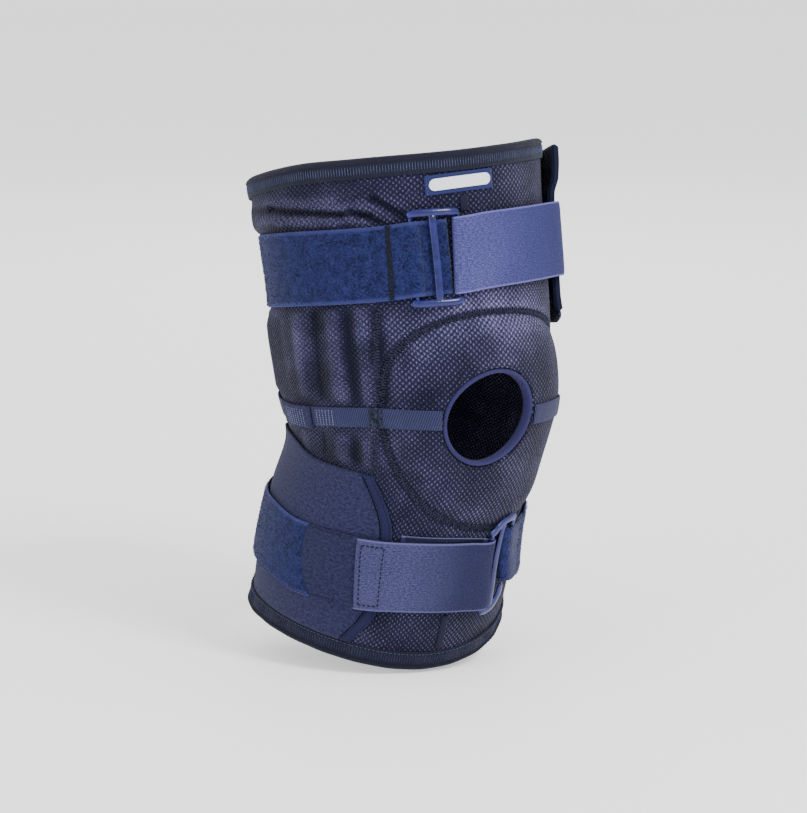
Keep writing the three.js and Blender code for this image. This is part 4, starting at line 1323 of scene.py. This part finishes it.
flap_front = FLAP_START - gap_span
flap_pad = (steady(FLAP_START), steady(FLAP_END), flap_low, flap_high)
flap_hem = (steady(flap_front - FLAP_BINDING), steady(flap_front), flap_low, flap_high)
hem_lifts = (
    lambda a, h: flap_lift(a, h) - HEM_PROUD,
    lambda a, h: flap_lift(a, h) + FLAP_THICKNESS + HEM_PROUD,
)
flap_pieces = {
    "thigh_flap": panel(
        "thigh_flap_pad", flap_pad, (flap_lift, flap_outer), AIR_MESH, 120, 66, soften=1.8 * MM,
    ),
    "thigh_flap_binding": panel(
        "thigh_flap_edge", flap_hem, hem_lifts, FLAP_TAPE, 10, 60, soften=1.5 * MM,
    ),
    "centre_tape_upper": tape("upper_centre_tape", 0.878, 0.911, -5.5),
    "centre_tape_lower": tape("lower_centre_tape", 0.05, 0.125, -4.5),
}
print("flap pieces:", list(flap_pieces))

# %% [markdown]
# ## Plastic slides
# A moulded slide is bars that run into two rails with soft fillets. Booleans would leave sharp
# joints. The bars are swept ovals laid into each other, a fine voxel remesh fuses them, and a
# little smoothing rounds every joint, as the radius of a mould does.

# %% Bars fused into a slide
SLIDE_MIDDLE = 0.79
SLIDE_ANGLE = -19.5
SLIDE_RAIL = 4.4 * MM
SLIDE_THICKNESS = 2.2 * MM
RING_SLIDE_MIDDLE = 0.2055
RING_SLIDE_LIFT = 3.8 * MM
RING_SLIDE_RAIL = 4.6 * MM
RING_SLIDE_THICKNESS = 2.4 * MM
VOXEL = 0.32 * MM


def bar(rows, width, thickness, middle, sides=14, steps=40):
    """A rounded bar through rows of angle, distance up from a middle height, and lift."""
    along = np.linspace(0, 1, len(rows["angle"]))
    fine = np.linspace(0, 1, steps)
    angle, up, lift = (follow({**rows, "along": along}, "along", c, fine) for c in ("angle", "up", "lift"))
    height = middle + up / scale_at(angle, middle)[1]
    points = place(angle, height, lift)
    ahead = np.gradient(points, axis=0)
    outward = place(angle, height, lift + MM) - points
    side = np.cross(ahead, outward)
    side /= np.linalg.norm(side, axis=-1, keepdims=True)
    normal = np.cross(side, ahead)
    normal /= np.linalg.norm(normal, axis=-1, keepdims=True)
    turn = np.linspace(0, math.tau, sides, endpoint=False)[None, :, None]
    taper = np.sqrt(np.clip(1 - np.abs(2 * fine - 1) ** 30, 0.15, 1))[:, None, None]
    across = np.cos(turn) * width / 2 * side[:, None] + np.sin(turn) * thickness / 2 * normal[:, None]
    return points[:, None] + across * taper


def fused(name, bars, material):
    """One moulded piece from bars laid into each other."""
    parts = [swept(name, rings, section_uv(rings, False), material, closed=False) for rings in bars]
    with bpy.context.temp_override(active_object=parts[0], selected_editable_objects=parts):
        bpy.ops.object.join()
    piece = parts[0]
    remesh = piece.modifiers.new("fuse", "REMESH")
    remesh.mode, remesh.voxel_size = "VOXEL", VOXEL
    smooth = piece.modifiers.new("fillet", "SMOOTH")
    smooth.factor, smooth.iterations = 0.5, 3
    return baked(piece)


def baked(piece):
    """The piece with its modifiers worked into a plain mesh."""
    evaluated = piece.evaluated_get(bpy.context.evaluated_depsgraph_get())
    mesh = bpy.data.meshes.new_from_object(evaluated)
    piece.modifiers.clear()
    piece.data = mesh
    mesh.shade_smooth()
    return piece


print("voxels of the slides:", VOXEL / MM, "mm")

# %% The two slides
slide_wave = table(
    "angle up lift",
    (-28.6, -0.2, 2.6),
    (-26.4, 1.2, 3.4),
    (-21, 1.2, 3.6),
    (-16.5, 1.0, 3.6),
    (-12.6, 0.8, 3.4),
    (-8.8, -0.2, 2.6),
)
slide_bars = table(
    "angle lift width thickness",
    (-27.8, 2.9, 2.2, 1.6),
    (-19.5, 4.2, 4.6, 2.2),
    (-9.2, 3.25, 1.8, 1.4),
)
ring_rails = [
    table("angle up", (11.2, 22.8), (13.6, 24.4), (16, 27.2), (21.2, 29.4), (26.5, 29.2)),
    table("angle up", (12.6, -23.2), (17, -23.4), (21, -21.4), (24.6, -16.4), (26.2, -10)),
]
ring_bars = [
    (table("angle up", (12.7, -23.2), (12.7, 24)), 2.4),
    (table("angle up", (18.9, -22.6), (18.9, 28.8)), 4.6),
    (table("angle up", (26.2, -10), (25.6, 29.2)), 2.4),
]


def thigh_bar(angles, ups, lifts, width, thickness):
    """A bar of the thigh slide. ups is in metres, lifts in millimetres."""
    rows = {"angle": np.asarray(angles), "up": np.asarray(ups), "lift": np.asarray(lifts) * MM}
    return bar(rows, width, thickness, SLIDE_MIDDLE)


def thigh_slide():
    """The lower rail is the upper one turned half round."""
    reach = ELASTIC_WIDTH / 2 + GAP + SLIDE_RAIL / 2
    angle, up, lift = slide_wave.values()
    bars = [
        thigh_bar(angles, side * (reach + up * MM), lift, SLIDE_RAIL, SLIDE_THICKNESS + 0.6 * MM)
        for side, angles in ((1, angle), (-1, 2 * SLIDE_ANGLE - angle))
    ]
    for at, high, width, thickness in zip(*slide_bars.values()):
        bars.append(thigh_bar([at] * 3, [-reach, 0, reach], [high] * 3, width * MM, thickness * MM))
    return fused("thigh_slide", bars, PLASTIC)


def calf_bar(rows, width, thickness):
    """A bar of the calf slide, all at one lift. up is in millimetres."""
    lift = np.full(len(rows["angle"]), RING_SLIDE_LIFT)
    return bar({**rows, "up": rows["up"] * MM, "lift": lift}, width, thickness, RING_SLIDE_MIDDLE)


def calf_slide():
    rails = [calf_bar(rows, RING_SLIDE_RAIL, RING_SLIDE_THICKNESS) for rows in ring_rails]
    bars = [calf_bar(rows, width * MM, RING_SLIDE_THICKNESS - 0.5 * MM) for rows, width in ring_bars]
    return fused("calf_slide", rails + bars, PLASTIC)


slides = {"upper_buckle": thigh_slide(), "lower_buckle": calf_slide()}
print("slide faces:", {name: len(piece.data.polygons) for name, piece in slides.items()})

# %% [markdown]
# ## Stitches
# Every seam is a row of small threads that dip into the cloth. A curve with a dashed material
# would stay flat, and modelling hundreds of threads by hand would never end. So each seam is
# first a mesh of loose edges, one edge for one stitch, and a Geometry Nodes tree turns every
# edge into a rice grain of thread: it captures the edge's direction, makes a point of the edge,
# and sets a low sphere there, as long as the edge and turned along it.

# %% A tree that sews


def new_tree(name, **sizes):
    """A geometry tree with named number inputs, and a dictionary of their sockets' identifiers."""
    tree = bpy.data.node_groups.new(name, "GeometryNodeTree")
    tree.interface.new_socket("Geometry", in_out="INPUT", socket_type="NodeSocketGeometry")
    tree.interface.new_socket("Geometry", in_out="OUTPUT", socket_type="NodeSocketGeometry")
    names = {}
    for size, kind in sizes.items():
        socket = tree.interface.new_socket(size.replace("_", " "), in_out="INPUT", socket_type=kind)
        names[size] = socket.identifier
    return tree, names


def hand_out(add, given, points, copied, rotation, scale):
    """A copy on every point as plain mesh in the given cloth, handed out of the tree."""
    placed = add(
        "GeometryNodeInstanceOnPoints", Points=points, Instance=copied, Rotation=rotation, Scale=scale,
    )
    real = add("GeometryNodeRealizeInstances", Geometry=placed.outputs[0])
    dyed = add("GeometryNodeSetMaterial", Geometry=real.outputs[0], Material=given["Cloth"])
    add("NodeGroupOutput", Geometry=dyed.outputs[0])


def sewing_tree():
    tree, names = new_tree(
        "sewing", Thread="NodeSocketFloat", Tension="NodeSocketFloat", Cloth="NodeSocketMaterial",
    )
    add = partial(add_node, tree)
    given = add("NodeGroupInput").outputs
    ends = add("GeometryNodeInputMeshEdgeVertices").outputs
    along = add(
        "ShaderNodeVectorMath", {"operation": "SUBTRACT"}, _0=ends["Position 2"], _1=ends["Position 1"],
    )
    kept = add("GeometryNodeCaptureAttribute", {"domain": "EDGE"}, Geometry=given["Geometry"])
    kept.capture_items.new("VECTOR", "Along")
    tree.links.new(along.outputs[0], kept.inputs["Along"])
    points = add("GeometryNodeMeshToPoints", {"mode": "EDGES"}, Mesh=kept.outputs["Geometry"])
    grain = add("GeometryNodeMeshUVSphere", Segments=6, Rings=4, Radius=1.0)
    length = add("ShaderNodeVectorMath", {"operation": "LENGTH"}, _0=kept.outputs["Along"])
    half = add("ShaderNodeMath", {"operation": "MULTIPLY"}, _0=length.outputs["Value"], _1=given["Tension"])
    size = add("ShaderNodeCombineXYZ", X=given["Thread"], Y=given["Thread"], Z=half.outputs[0])
    turn = add("FunctionNodeAlignRotationToVector", {"axis": "Z"}, Vector=kept.outputs["Along"])
    hand_out(add, given, points.outputs[0], grain.outputs["Mesh"], turn.outputs[0], size.outputs[0])
    return tree, names


SEWING, SEWING_INPUTS = sewing_tree()
print("tree:", SEWING.name, len(SEWING.nodes), "nodes")

# %% Grow a tree on a piece


def grown(piece, tree, names, **values):
    """The piece after a geometry tree, as a plain mesh. names holds each input's identifier."""
    grow = piece.modifiers.new(tree.name, "NODES")
    grow.node_group = tree
    for size, value in values.items():
        grow[names[size]] = value
    return baked(piece)


def sewn(name, stitches, thread, material, tension=0.56):
    """All stitches of one seam, each a pair of ends, as one piece of threads."""
    ends = np.concatenate([np.reshape(row, (-1, 2, 3)) for row in stitches])
    pairs = np.arange(len(ends) * 2).reshape(-1, 2)
    piece = linked(name, mesh_from(name, ends.reshape(-1, 3), pairs))
    return grown(piece, SEWING, SEWING_INPUTS, Thread=thread, Tension=tension, Cloth=material)


def sew_all(**seams):
    """Every named seam, from its rows, its thread's half thickness and material, and its tension."""
    return {name: sewn(name, *how) for name, how in seams.items()}


def resampled(points, run, where):
    """Points of a line at other distances along it."""
    return np.stack([np.interp(where, run, points[:, axis]) for axis in range(3)], -1)


def row_of(points, pitch, share=0.72):
    """Stitches along a line of points: pairs of ends, one every pitch."""
    run = run_along(points)
    starts = np.arange(0, max(run[-1] - pitch * share, pitch / 2), pitch)
    return resampled(points, run, np.stack([starts, starts + pitch * share], -1))


def zigzag(first, second):
    """Stitches that go to and fro between two lines of points."""
    lines = np.empty((len(first) * 2, 3))
    lines[0::2], lines[1::2] = first, second
    return np.stack([lines[:-1], lines[1:]], 1)


def coverstitch(first, second, pitch=1.6 * MM):
    """An even zigzag between two lines of points, as a coverstitch shows on its upper side."""
    run = run_along(first)
    places = np.arange(0, run[-1], pitch)
    return zigzag(*(resampled(line, run, places) for line in (first, second)))


print("seams are lists of pairs of points")

# %% [markdown]
# ## Where the seams run
# The kneecap pad has a double row in its groove under a zigzag coverstitch, which also runs
# beside the pad. The stay channels and the hole have puckered rows, the straps are tacked and
# box-stitched. Each row is a line of places on the same surface as its cloth, lifted by half a
# thread, so it lies in the cloth and not above it.

# %% Seams of the sleeve
THREAD = 0.3 * MM
FINE_THREAD = THREAD * 0.8
COVER_SIDES = (-2.3 * MM, 2.3 * MM)
GROOVE_SIDES = (-1.5 * MM, 1.5 * MM)


def on_sleeve(angle, height, lift=0.1 * MM):
    """Points on the outside of the padded sleeve."""
    angle, height = np.broadcast_arrays(np.asarray(angle, float), np.asarray(height, float))
    return place(angle, height, relief(angle, height) + soft_waves(angle, height) + lift)


def pad_outline(inset):
    """Places along the kneecap pad's outline, moved in by inset."""
    turn = np.radians(np.linspace(0, 360, 361))
    sideways, upward = (squared(wave(turn), PAD["corner"]) for wave in (np.cos, np.sin))
    angle = PAD_SHIFT + sideways * (PAD["width"] / 2 - inset) / DEGREE
    middle = HOLE_HEIGHT - PAD_BELOW_HOLE - PAD_DROP * angle
    return angle, middle + upward * (PAD["height"] / 2 - inset) / WHOLE


def hole_seam():
    turn = np.linspace(0, 360, 181)
    return on_sleeve(*hole_edge(turn, RING_WIDTH + 1.4 * MM), 0.05 * MM)


def upright_seam(rows):
    """A seam that climbs the sleeve through rows of angle and height."""
    angle, height = np.array(rows, float).T
    fine = np.linspace(height[0], height[-1], 160)
    return on_sleeve(np.interp(fine, height, angle), fine)


side_seams = [
    [(-51, 0.38), (-49, 0.47)],
    [(-48.5, 0.51), (-46, 0.62), (-44, 0.705)],
    [(-75, 0.51), (-73, 0.705)],
    [(-58.5, 0.51), (-57, 0.705)],
    [(-77, 0.39), (-76, 0.46)],
    [(103, 0.51), (103, 0.62)],
]
pad_rows = [row_of(on_sleeve(*pad_outline(inset)), 2.6 * MM) for inset in GROOVE_SIDES]
side_rows = [row_of(upright_seam(rows), 2.4 * MM) for rows in side_seams]
cover_lines = [[on_sleeve(*pad_outline(side)) for side in COVER_SIDES]]
cover_lines += [
    [upright_seam([(angle + side / DEGREE, height) for angle, height in rows]) for side in COVER_SIDES]
    for rows in side_seams[:2]
]
sleeve_seams = sew_all(
    kneecap_pad_stitches=(pad_rows, THREAD, NAVY_THREAD),
    side_stitches=(side_rows, FINE_THREAD, DARK_THREAD),
    sleeve_coverstitch=([coverstitch(*pair) for pair in cover_lines], THREAD, COVER_THREAD),
    hole_stitches=([row_of(hole_seam(), 2.2 * MM)], FINE_THREAD, DARK_THREAD),
)
print("stitches round the pad:", sum(len(row) for row in pad_rows))

# %% Threads of the bindings
BINDING_LENGTH = 520 * MM
THREAD_LIFT = BAND_LIFT + 0.12 * MM


def binding_threads(direction, high, low, pitch):
    """Upright threads across a binding's band, one every pitch."""
    angles = np.linspace(-180, 180, int(BINDING_LENGTH / pitch), endpoint=False)
    return np.stack([off_rim(direction, angles, down, THREAD_LIFT) for down in (high, low)], 1)


top_threads = binding_threads(1, 4.4 * MM, 9.4 * MM, 1.6 * MM)
bottom_threads = binding_threads(-1, 4.6 * MM, 10.2 * MM, 1.75 * MM)
calf_line = off_rim(-1, np.linspace(-180, 180, 541), 10.6 * MM, THREAD_LIFT + 0.1 * MM)
binding_seams = sew_all(
    thigh_binding_threads=([top_threads], 0.24 * MM, RIB_THREAD, 0.5),
    calf_binding_threads=([bottom_threads], 0.22 * MM, NAVY_THREAD, 0.5),
    calf_binding_stitches=([row_of(calf_line, 2.4 * MM)], 0.2 * MM, RIB_THREAD),
)
print("upright threads:", len(top_threads), len(bottom_threads))

# %% Seams of the straps
TACK_PITCH = 1.0 * MM
TACK_SLANT = 1.3 * MM
SEAM_REACH = 0.96


def across_ribbon(ribbon, run, share, above):
    return ribbon.spot(run, np.linspace(-share, share, 120), above)


def along_ribbon(ribbon, start, end, share, above):
    return ribbon.spot(np.linspace(start, end, 240), share, above)


def tack(ribbon, run, width, above):
    """A band of zigzag threads across the strap."""
    shares = np.linspace(-SEAM_REACH, SEAM_REACH, int(ribbon.width * SEAM_REACH / TACK_PITCH))
    runs = run - TACK_SLANT * shares
    return zigzag(*(ribbon.spot(runs + side * width / 2, shares, above) for side in (-1, 1)))


def box_stitch(ribbon, start, end, share, above):
    sides = [across_ribbon(ribbon, run, share, above) for run in (start, end)]
    sides += [along_ribbon(ribbon, start, end, s, above) for s in (-share, share)]
    return [row_of(side, 2.7 * MM, 0.66) for side in sides]


loop_top = LOOP_THICKNESS / 2 + 0.1 * MM
elastic_top = ELASTIC_THICKNESS / 2 + 0.08 * MM
knit_top = KNIT_THICKNESS / 2 + 0.06 * MM
knit_rows = [
    row_of(along_ribbon(LOWER_KNIT, 0.5 * MM, LOWER_KNIT.length * 0.62, share, knit_top), 2.4 * MM)
    for share in (-0.95, 0.95)
]
fold_runs = [LOWER_BAND.run_at(angle, 0.6) for angle in (10, -30)]
under_lines = [along_ribbon(LOWER_BAND, *fold_runs, share, elastic_top)[::2] for share in (0.985, 0.88)]
under_rows = [np.stack(under_lines, 1)]
loop_low = [row_of(along_ribbon(LOWER_LOOP, 1 * MM, 70 * MM, -0.95, loop_top), 2.6 * MM)]
thigh_tack = tack(UPPER_LOOP, TACK_RUN, TACK_WIDTH, loop_top - 0.5 * MM)
calf_box = box_stitch(LOWER_BAND, 3 * MM, 15 * MM, 0.84, elastic_top)
strap_seams = sew_all(
    thigh_strap_tack=([thigh_tack], 0.42 * MM, TACK_THREAD, 0.5),
    calf_strap_box=(calf_box, 0.46 * MM, DARK_THREAD),
    calf_strap_stitches=(knit_rows + under_rows + loop_low, FINE_THREAD, DARK_THREAD),
)
print("strap seams:", list(strap_seams))

# %% Seams of the panels, the tab and the label
TAB_SEAMS = ((outer_band, np.arange(-77, -68, 1.7)), (KNEE_TAB, np.arange(-98, -84, 1.9)))
BAND_LANES = (-3.9, -1.3, 1.3, 3.9)
BAND_TACK_ANGLE = -48.5
band_top = BAND_THICKNESS / 2 + 0.06 * MM
label_top = LABEL_THICKNESS / 2 + 0.05 * MM


def panel_seam(front, inset, lift):
    rise = np.linspace(0.01, 0.99, 120)
    angle = front(rise) + inset
    height = calf_low(angle) + (calf_high(angle) - calf_low(angle)) * rise
    return place(angle, height, panel_outer(angle, height) + lift)


def band_tack():
    """The coverstitch beside the pad, which runs on over the outer knee band."""
    shares = np.linspace(-SEAM_REACH, SEAM_REACH, 19)
    run = outer_band.run_at(BAND_TACK_ANGLE)
    lines = [outer_band.spot(run + lane * MM, shares, band_top + 0.06 * MM) for lane in BAND_LANES]
    return np.concatenate([zigzag(low, high) for low, high in zip(lines, lines[1:])])


tab_rows = [
    row_of(across_ribbon(ribbon, ribbon.run_at(angle), 0.86, band_top), 1.3 * MM)
    for ribbon, angles in TAB_SEAMS
    for angle in angles
]
edge_rows = [
    row_of(panel_seam(front, side * inset * MM / DEGREE, EDGE_PROUD + 0.08 * MM), 2.0 * MM)
    for front, side in ((lateral_back, 1), (medial_back, -1))
    for inset in (1.0, 5.6)
]
label_rows = [
    row_of(across_ribbon(LABEL_TAB, run, 0.9, label_top), 1.6 * MM)
    for run in (1.0 * MM, LABEL_TAB.length - 1.0 * MM)
]
panel_seams = sew_all(
    calf_panel_stitches=(edge_rows, FINE_THREAD, DARK_THREAD),
    knee_tab_stitches=(tab_rows, 0.24 * MM, PALE_THREAD),
    knee_band_tack=([band_tack()], 0.46 * MM, COVER_THREAD),
    label_stitches=(label_rows, 0.16 * MM, BLUE_THREAD),
)
seam_slots = {
    **dict.fromkeys(sleeve_seams, "mesh"),
    **dict.fromkeys(binding_seams, "binding"),
    "thigh_strap_tack": "loop",
    "calf_strap_box": "elastic",
    "calf_strap_stitches": "knit",
    "calf_panel_stitches": "knit",
    "knee_tab_stitches": "webbing",
    "knee_band_tack": "webbing",
    "label_stitches": "label",
}
seams = {**sleeve_seams, **binding_seams, **strap_seams, **panel_seams}
print("threads:", sum(len(seam.data.polygons) for seam in seams.values()), "faces")

# %% [markdown]
# ## Brushed loops
# The loop straps feel like felt: yarn loops stand up from a ground weave. Hair would give
# them, but hair isn't a mesh and doesn't export. A second tree scatters points with a fixed
# seed over the strap's outer face and puts a small bent thread on each, turned at random.

# %% A tree that grows loops
PILE_SEED = 7
PILE_REACH = 0.42 * MM
LOOPS_PER_AREA = 0.5 / MM / MM
LOOP_ARC = math.radians(215)


def pile_tree():
    tree, names = new_tree(
        "brushed_pile", Density="NodeSocketFloat", Reach="NodeSocketFloat", Seed="NodeSocketInt",
        Cloth="NodeSocketMaterial",
    )
    add = partial(add_node, tree)
    given = add("NodeGroupInput").outputs
    spread = add(
        "GeometryNodeDistributePointsOnFaces",
        Mesh=given["Geometry"], Density=given["Density"], Seed=given["Seed"],
    )
    arc = add("GeometryNodeCurveArc", Resolution=4, Radius=1.0, Start_Angle=0.0, Sweep_Angle=LOOP_ARC)
    yarn = add("GeometryNodeCurvePrimitiveCircle", Resolution=3, Radius=0.2)
    loop = add("GeometryNodeCurveToMesh", Curve=arc.outputs[0], Profile_Curve=yarn.outputs[0])
    standing = add("GeometryNodeTransform", Geometry=loop.outputs[0], Rotation=(math.pi / 2, 0.0, 0.0))
    spin = add(
        "FunctionNodeRandomValue", {"data_type": "FLOAT_VECTOR"},
        _0=(-0.5, -0.5, 0.0), _1=(0.5, 0.5, math.tau), Seed=given["Seed"],
    )
    turned = add(
        "FunctionNodeRotateRotation", {"rotation_space": "LOCAL"},
        Rotation=spread.outputs["Rotation"], _1=spin.outputs[0],
    )
    size = add("FunctionNodeRandomValue", {"data_type": "FLOAT"}, _2=0.6, _3=1.25, Seed=given["Seed"])
    reach = add("ShaderNodeMath", {"operation": "MULTIPLY"}, _0=size.outputs[1], _1=given["Reach"])
    hand_out(
        add, given, spread.outputs["Points"], standing.outputs[0], turned.outputs[0], reach.outputs[0],
    )
    return tree, names


PILE, PILE_INPUTS = pile_tree()
print("tree:", PILE.name, len(PILE.nodes), "nodes")

# %% Loops on the straps


def outer_face(name, ribbon, start, end):
    """The ribbon's outer face alone, between two shares of its length, turned outwards."""
    runs = np.linspace(start * ribbon.length, end * ribbon.length, 160)[:, None]
    points = ribbon.spot(runs, np.linspace(-0.97, 0.97, 12)[None], LOOP_THICKNESS / 2)
    faces = quads(np.arange(points[..., 0].size).reshape(points.shape[:2]))
    flat = points.reshape(-1, 3)
    corner, ahead, beside = (flat[faces[:, k]] for k in (0, 1, 3))
    normal = np.cross(ahead - corner, beside - corner).reshape(len(runs) - 1, -1, 3).mean(1)
    angle, height = (follow(ribbon.rows, "run", column, runs[:-1, 0]) for column in ("angle", "height"))
    if np.sum(normal * (place(angle, height, 5 * MM) - place(angle, height))) < 0:
        faces = faces[:, ::-1]
    return linked(name, mesh_from(name, flat, faces=faces))


def pile(name, ribbon, start, end):
    return grown(
        outer_face(name, ribbon, start, end), PILE, PILE_INPUTS,
        Density=LOOPS_PER_AREA, Reach=PILE_REACH, Seed=PILE_SEED, Cloth=PILE_YARN,
    )


strips = {
    "thigh_strap_pile": (UPPER_LOOP, 0.1, 1.0),
    "calf_strap_pile": (LOWER_LOOP, 0.005, 0.995),
    "calf_tail_pile": (TAIL, 0.55, 0.99),
}
piles = {name: pile(name, *strip) for name, strip in strips.items()}
print("loops:", {name: len(piece.data.polygons) for name, piece in piles.items()})

# %% [markdown]
# ## Camera, floor and light
# The camera stands where the photographer's did: 32 degrees round towards the outer side and 10
# degrees up, far off with a long lens, so that the two rims look almost flat. A pale floor and
# three large soft lamps give the even light of a product studio, brighter from the front. The
# floor glows a little, as the lit table of a studio does, so that it stays pale round the object.

# %% Camera
FRAME_WIDTH = 807
AZIMUTH = math.radians(-32)
ELEVATION = math.radians(10)
DISTANCE = 2.2
SCALE = 0.57 * MM
SENSOR = 36.0
KNEE_RIGHT = 19.5
KNEE_BELOW = 5.5


def aimed(name, data, direction, distance=1.0):
    """A camera or a lamp in a direction from the knee, turned towards it."""
    made = linked(name, data)
    made.location = Vector(direction) * distance
    made.rotation_euler = (-Vector(direction)).to_track_quat("-Z", "Y").to_euler()
    return made


back = Vector((
    math.sin(AZIMUTH) * math.cos(ELEVATION),
    -math.cos(AZIMUTH) * math.cos(ELEVATION),
    math.sin(ELEVATION),
))
camera_data = bpy.data.cameras.new("camera")
camera_data.sensor_fit = "HORIZONTAL"
camera_data.sensor_width = SENSOR
camera_data.lens = DISTANCE / SCALE * SENSOR / FRAME_WIDTH
camera_data.shift_x = -KNEE_RIGHT / FRAME_WIDTH
camera_data.shift_y = KNEE_BELOW / FRAME_WIDTH
bpy.context.scene.camera = aimed("camera", camera_data, back, DISTANCE)
print(f"lens {camera_data.lens:.0f} mm at {DISTANCE} m")

# %% Floor and lamps
FLOOR_DROP = 2 * MM
FLOOR_HALF = 6.0
WHITE = (1.0, 1.0, 1.0, 1.0)
WORLD_LIGHT = 1.2


def pale_floor():
    kit = Kit("pale_floor", 0.9, Specular_IOR_Level=0.1, Emission_Strength=0.5, Emission_Color=WHITE)
    material = kit.finish(kit.blend(kit.noise(kit.spot(), 1.5), (246, 246, 248), (250, 250, 252)))
    square = np.array([(-1, -1), (1, -1), (1, 1), (-1, 1)]) * FLOOR_HALF
    corners = np.column_stack([square, np.full(4, cad_box[0][2] - FLOOR_DROP)])
    mesh = mesh_from("floor", corners, faces=[(0, 1, 2, 3)])
    mesh.materials.append(material)
    return linked("floor", mesh)


def lamp(name, spot, size, watts, tint=WHITE[:3]):
    data = bpy.data.lights.new(name, "AREA")
    data.shape, data.size, data.energy, data.color = "DISK", size, watts, tint
    aimed(name, data, spot)


pale_floor()
lamp("key", (0.35, -2.0, 1.7), 0.9, 58)
lamp("side", (-1.9, -0.5, 0.5), 0.9, 10, (0.92, 0.97, 1.0))
lamp("back", (1.0, 1.6, 1.2), 1.0, 12)
world = bpy.data.worlds.new("studio")
world.use_nodes = True
sky = world.node_tree.nodes["Background"].inputs
sky["Color"].default_value = (0.97, 0.975, 0.985, 1.0)
sky["Strength"].default_value = WORLD_LIGHT
bpy.context.scene.world = world
print("floor at", round(cad_box[0][2] - FLOOR_DROP, 4), "m")

# %% [markdown]
# ## Hand the pieces to the frame
# Each dressed piece rides on the one body and takes the place of its plain solid. The seams and
# the loops ride on it as well.

# %% Pieces and their solids
dressed = {
    "sleeve": SLEEVE,
    "top_binding": TOP_BINDING,
    "bottom_binding": BOTTOM_BINDING,
    "patella_ring": KNEECAP_RING,
    **straps,
    **small_cloths,
    **calf_pieces,
    **flap_pieces,
    **slides,
}
for node, piece in dressed.items():
    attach(piece, "root")
    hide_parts(node)
for name, piece in {**seams, **piles}.items():
    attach(piece, "root")
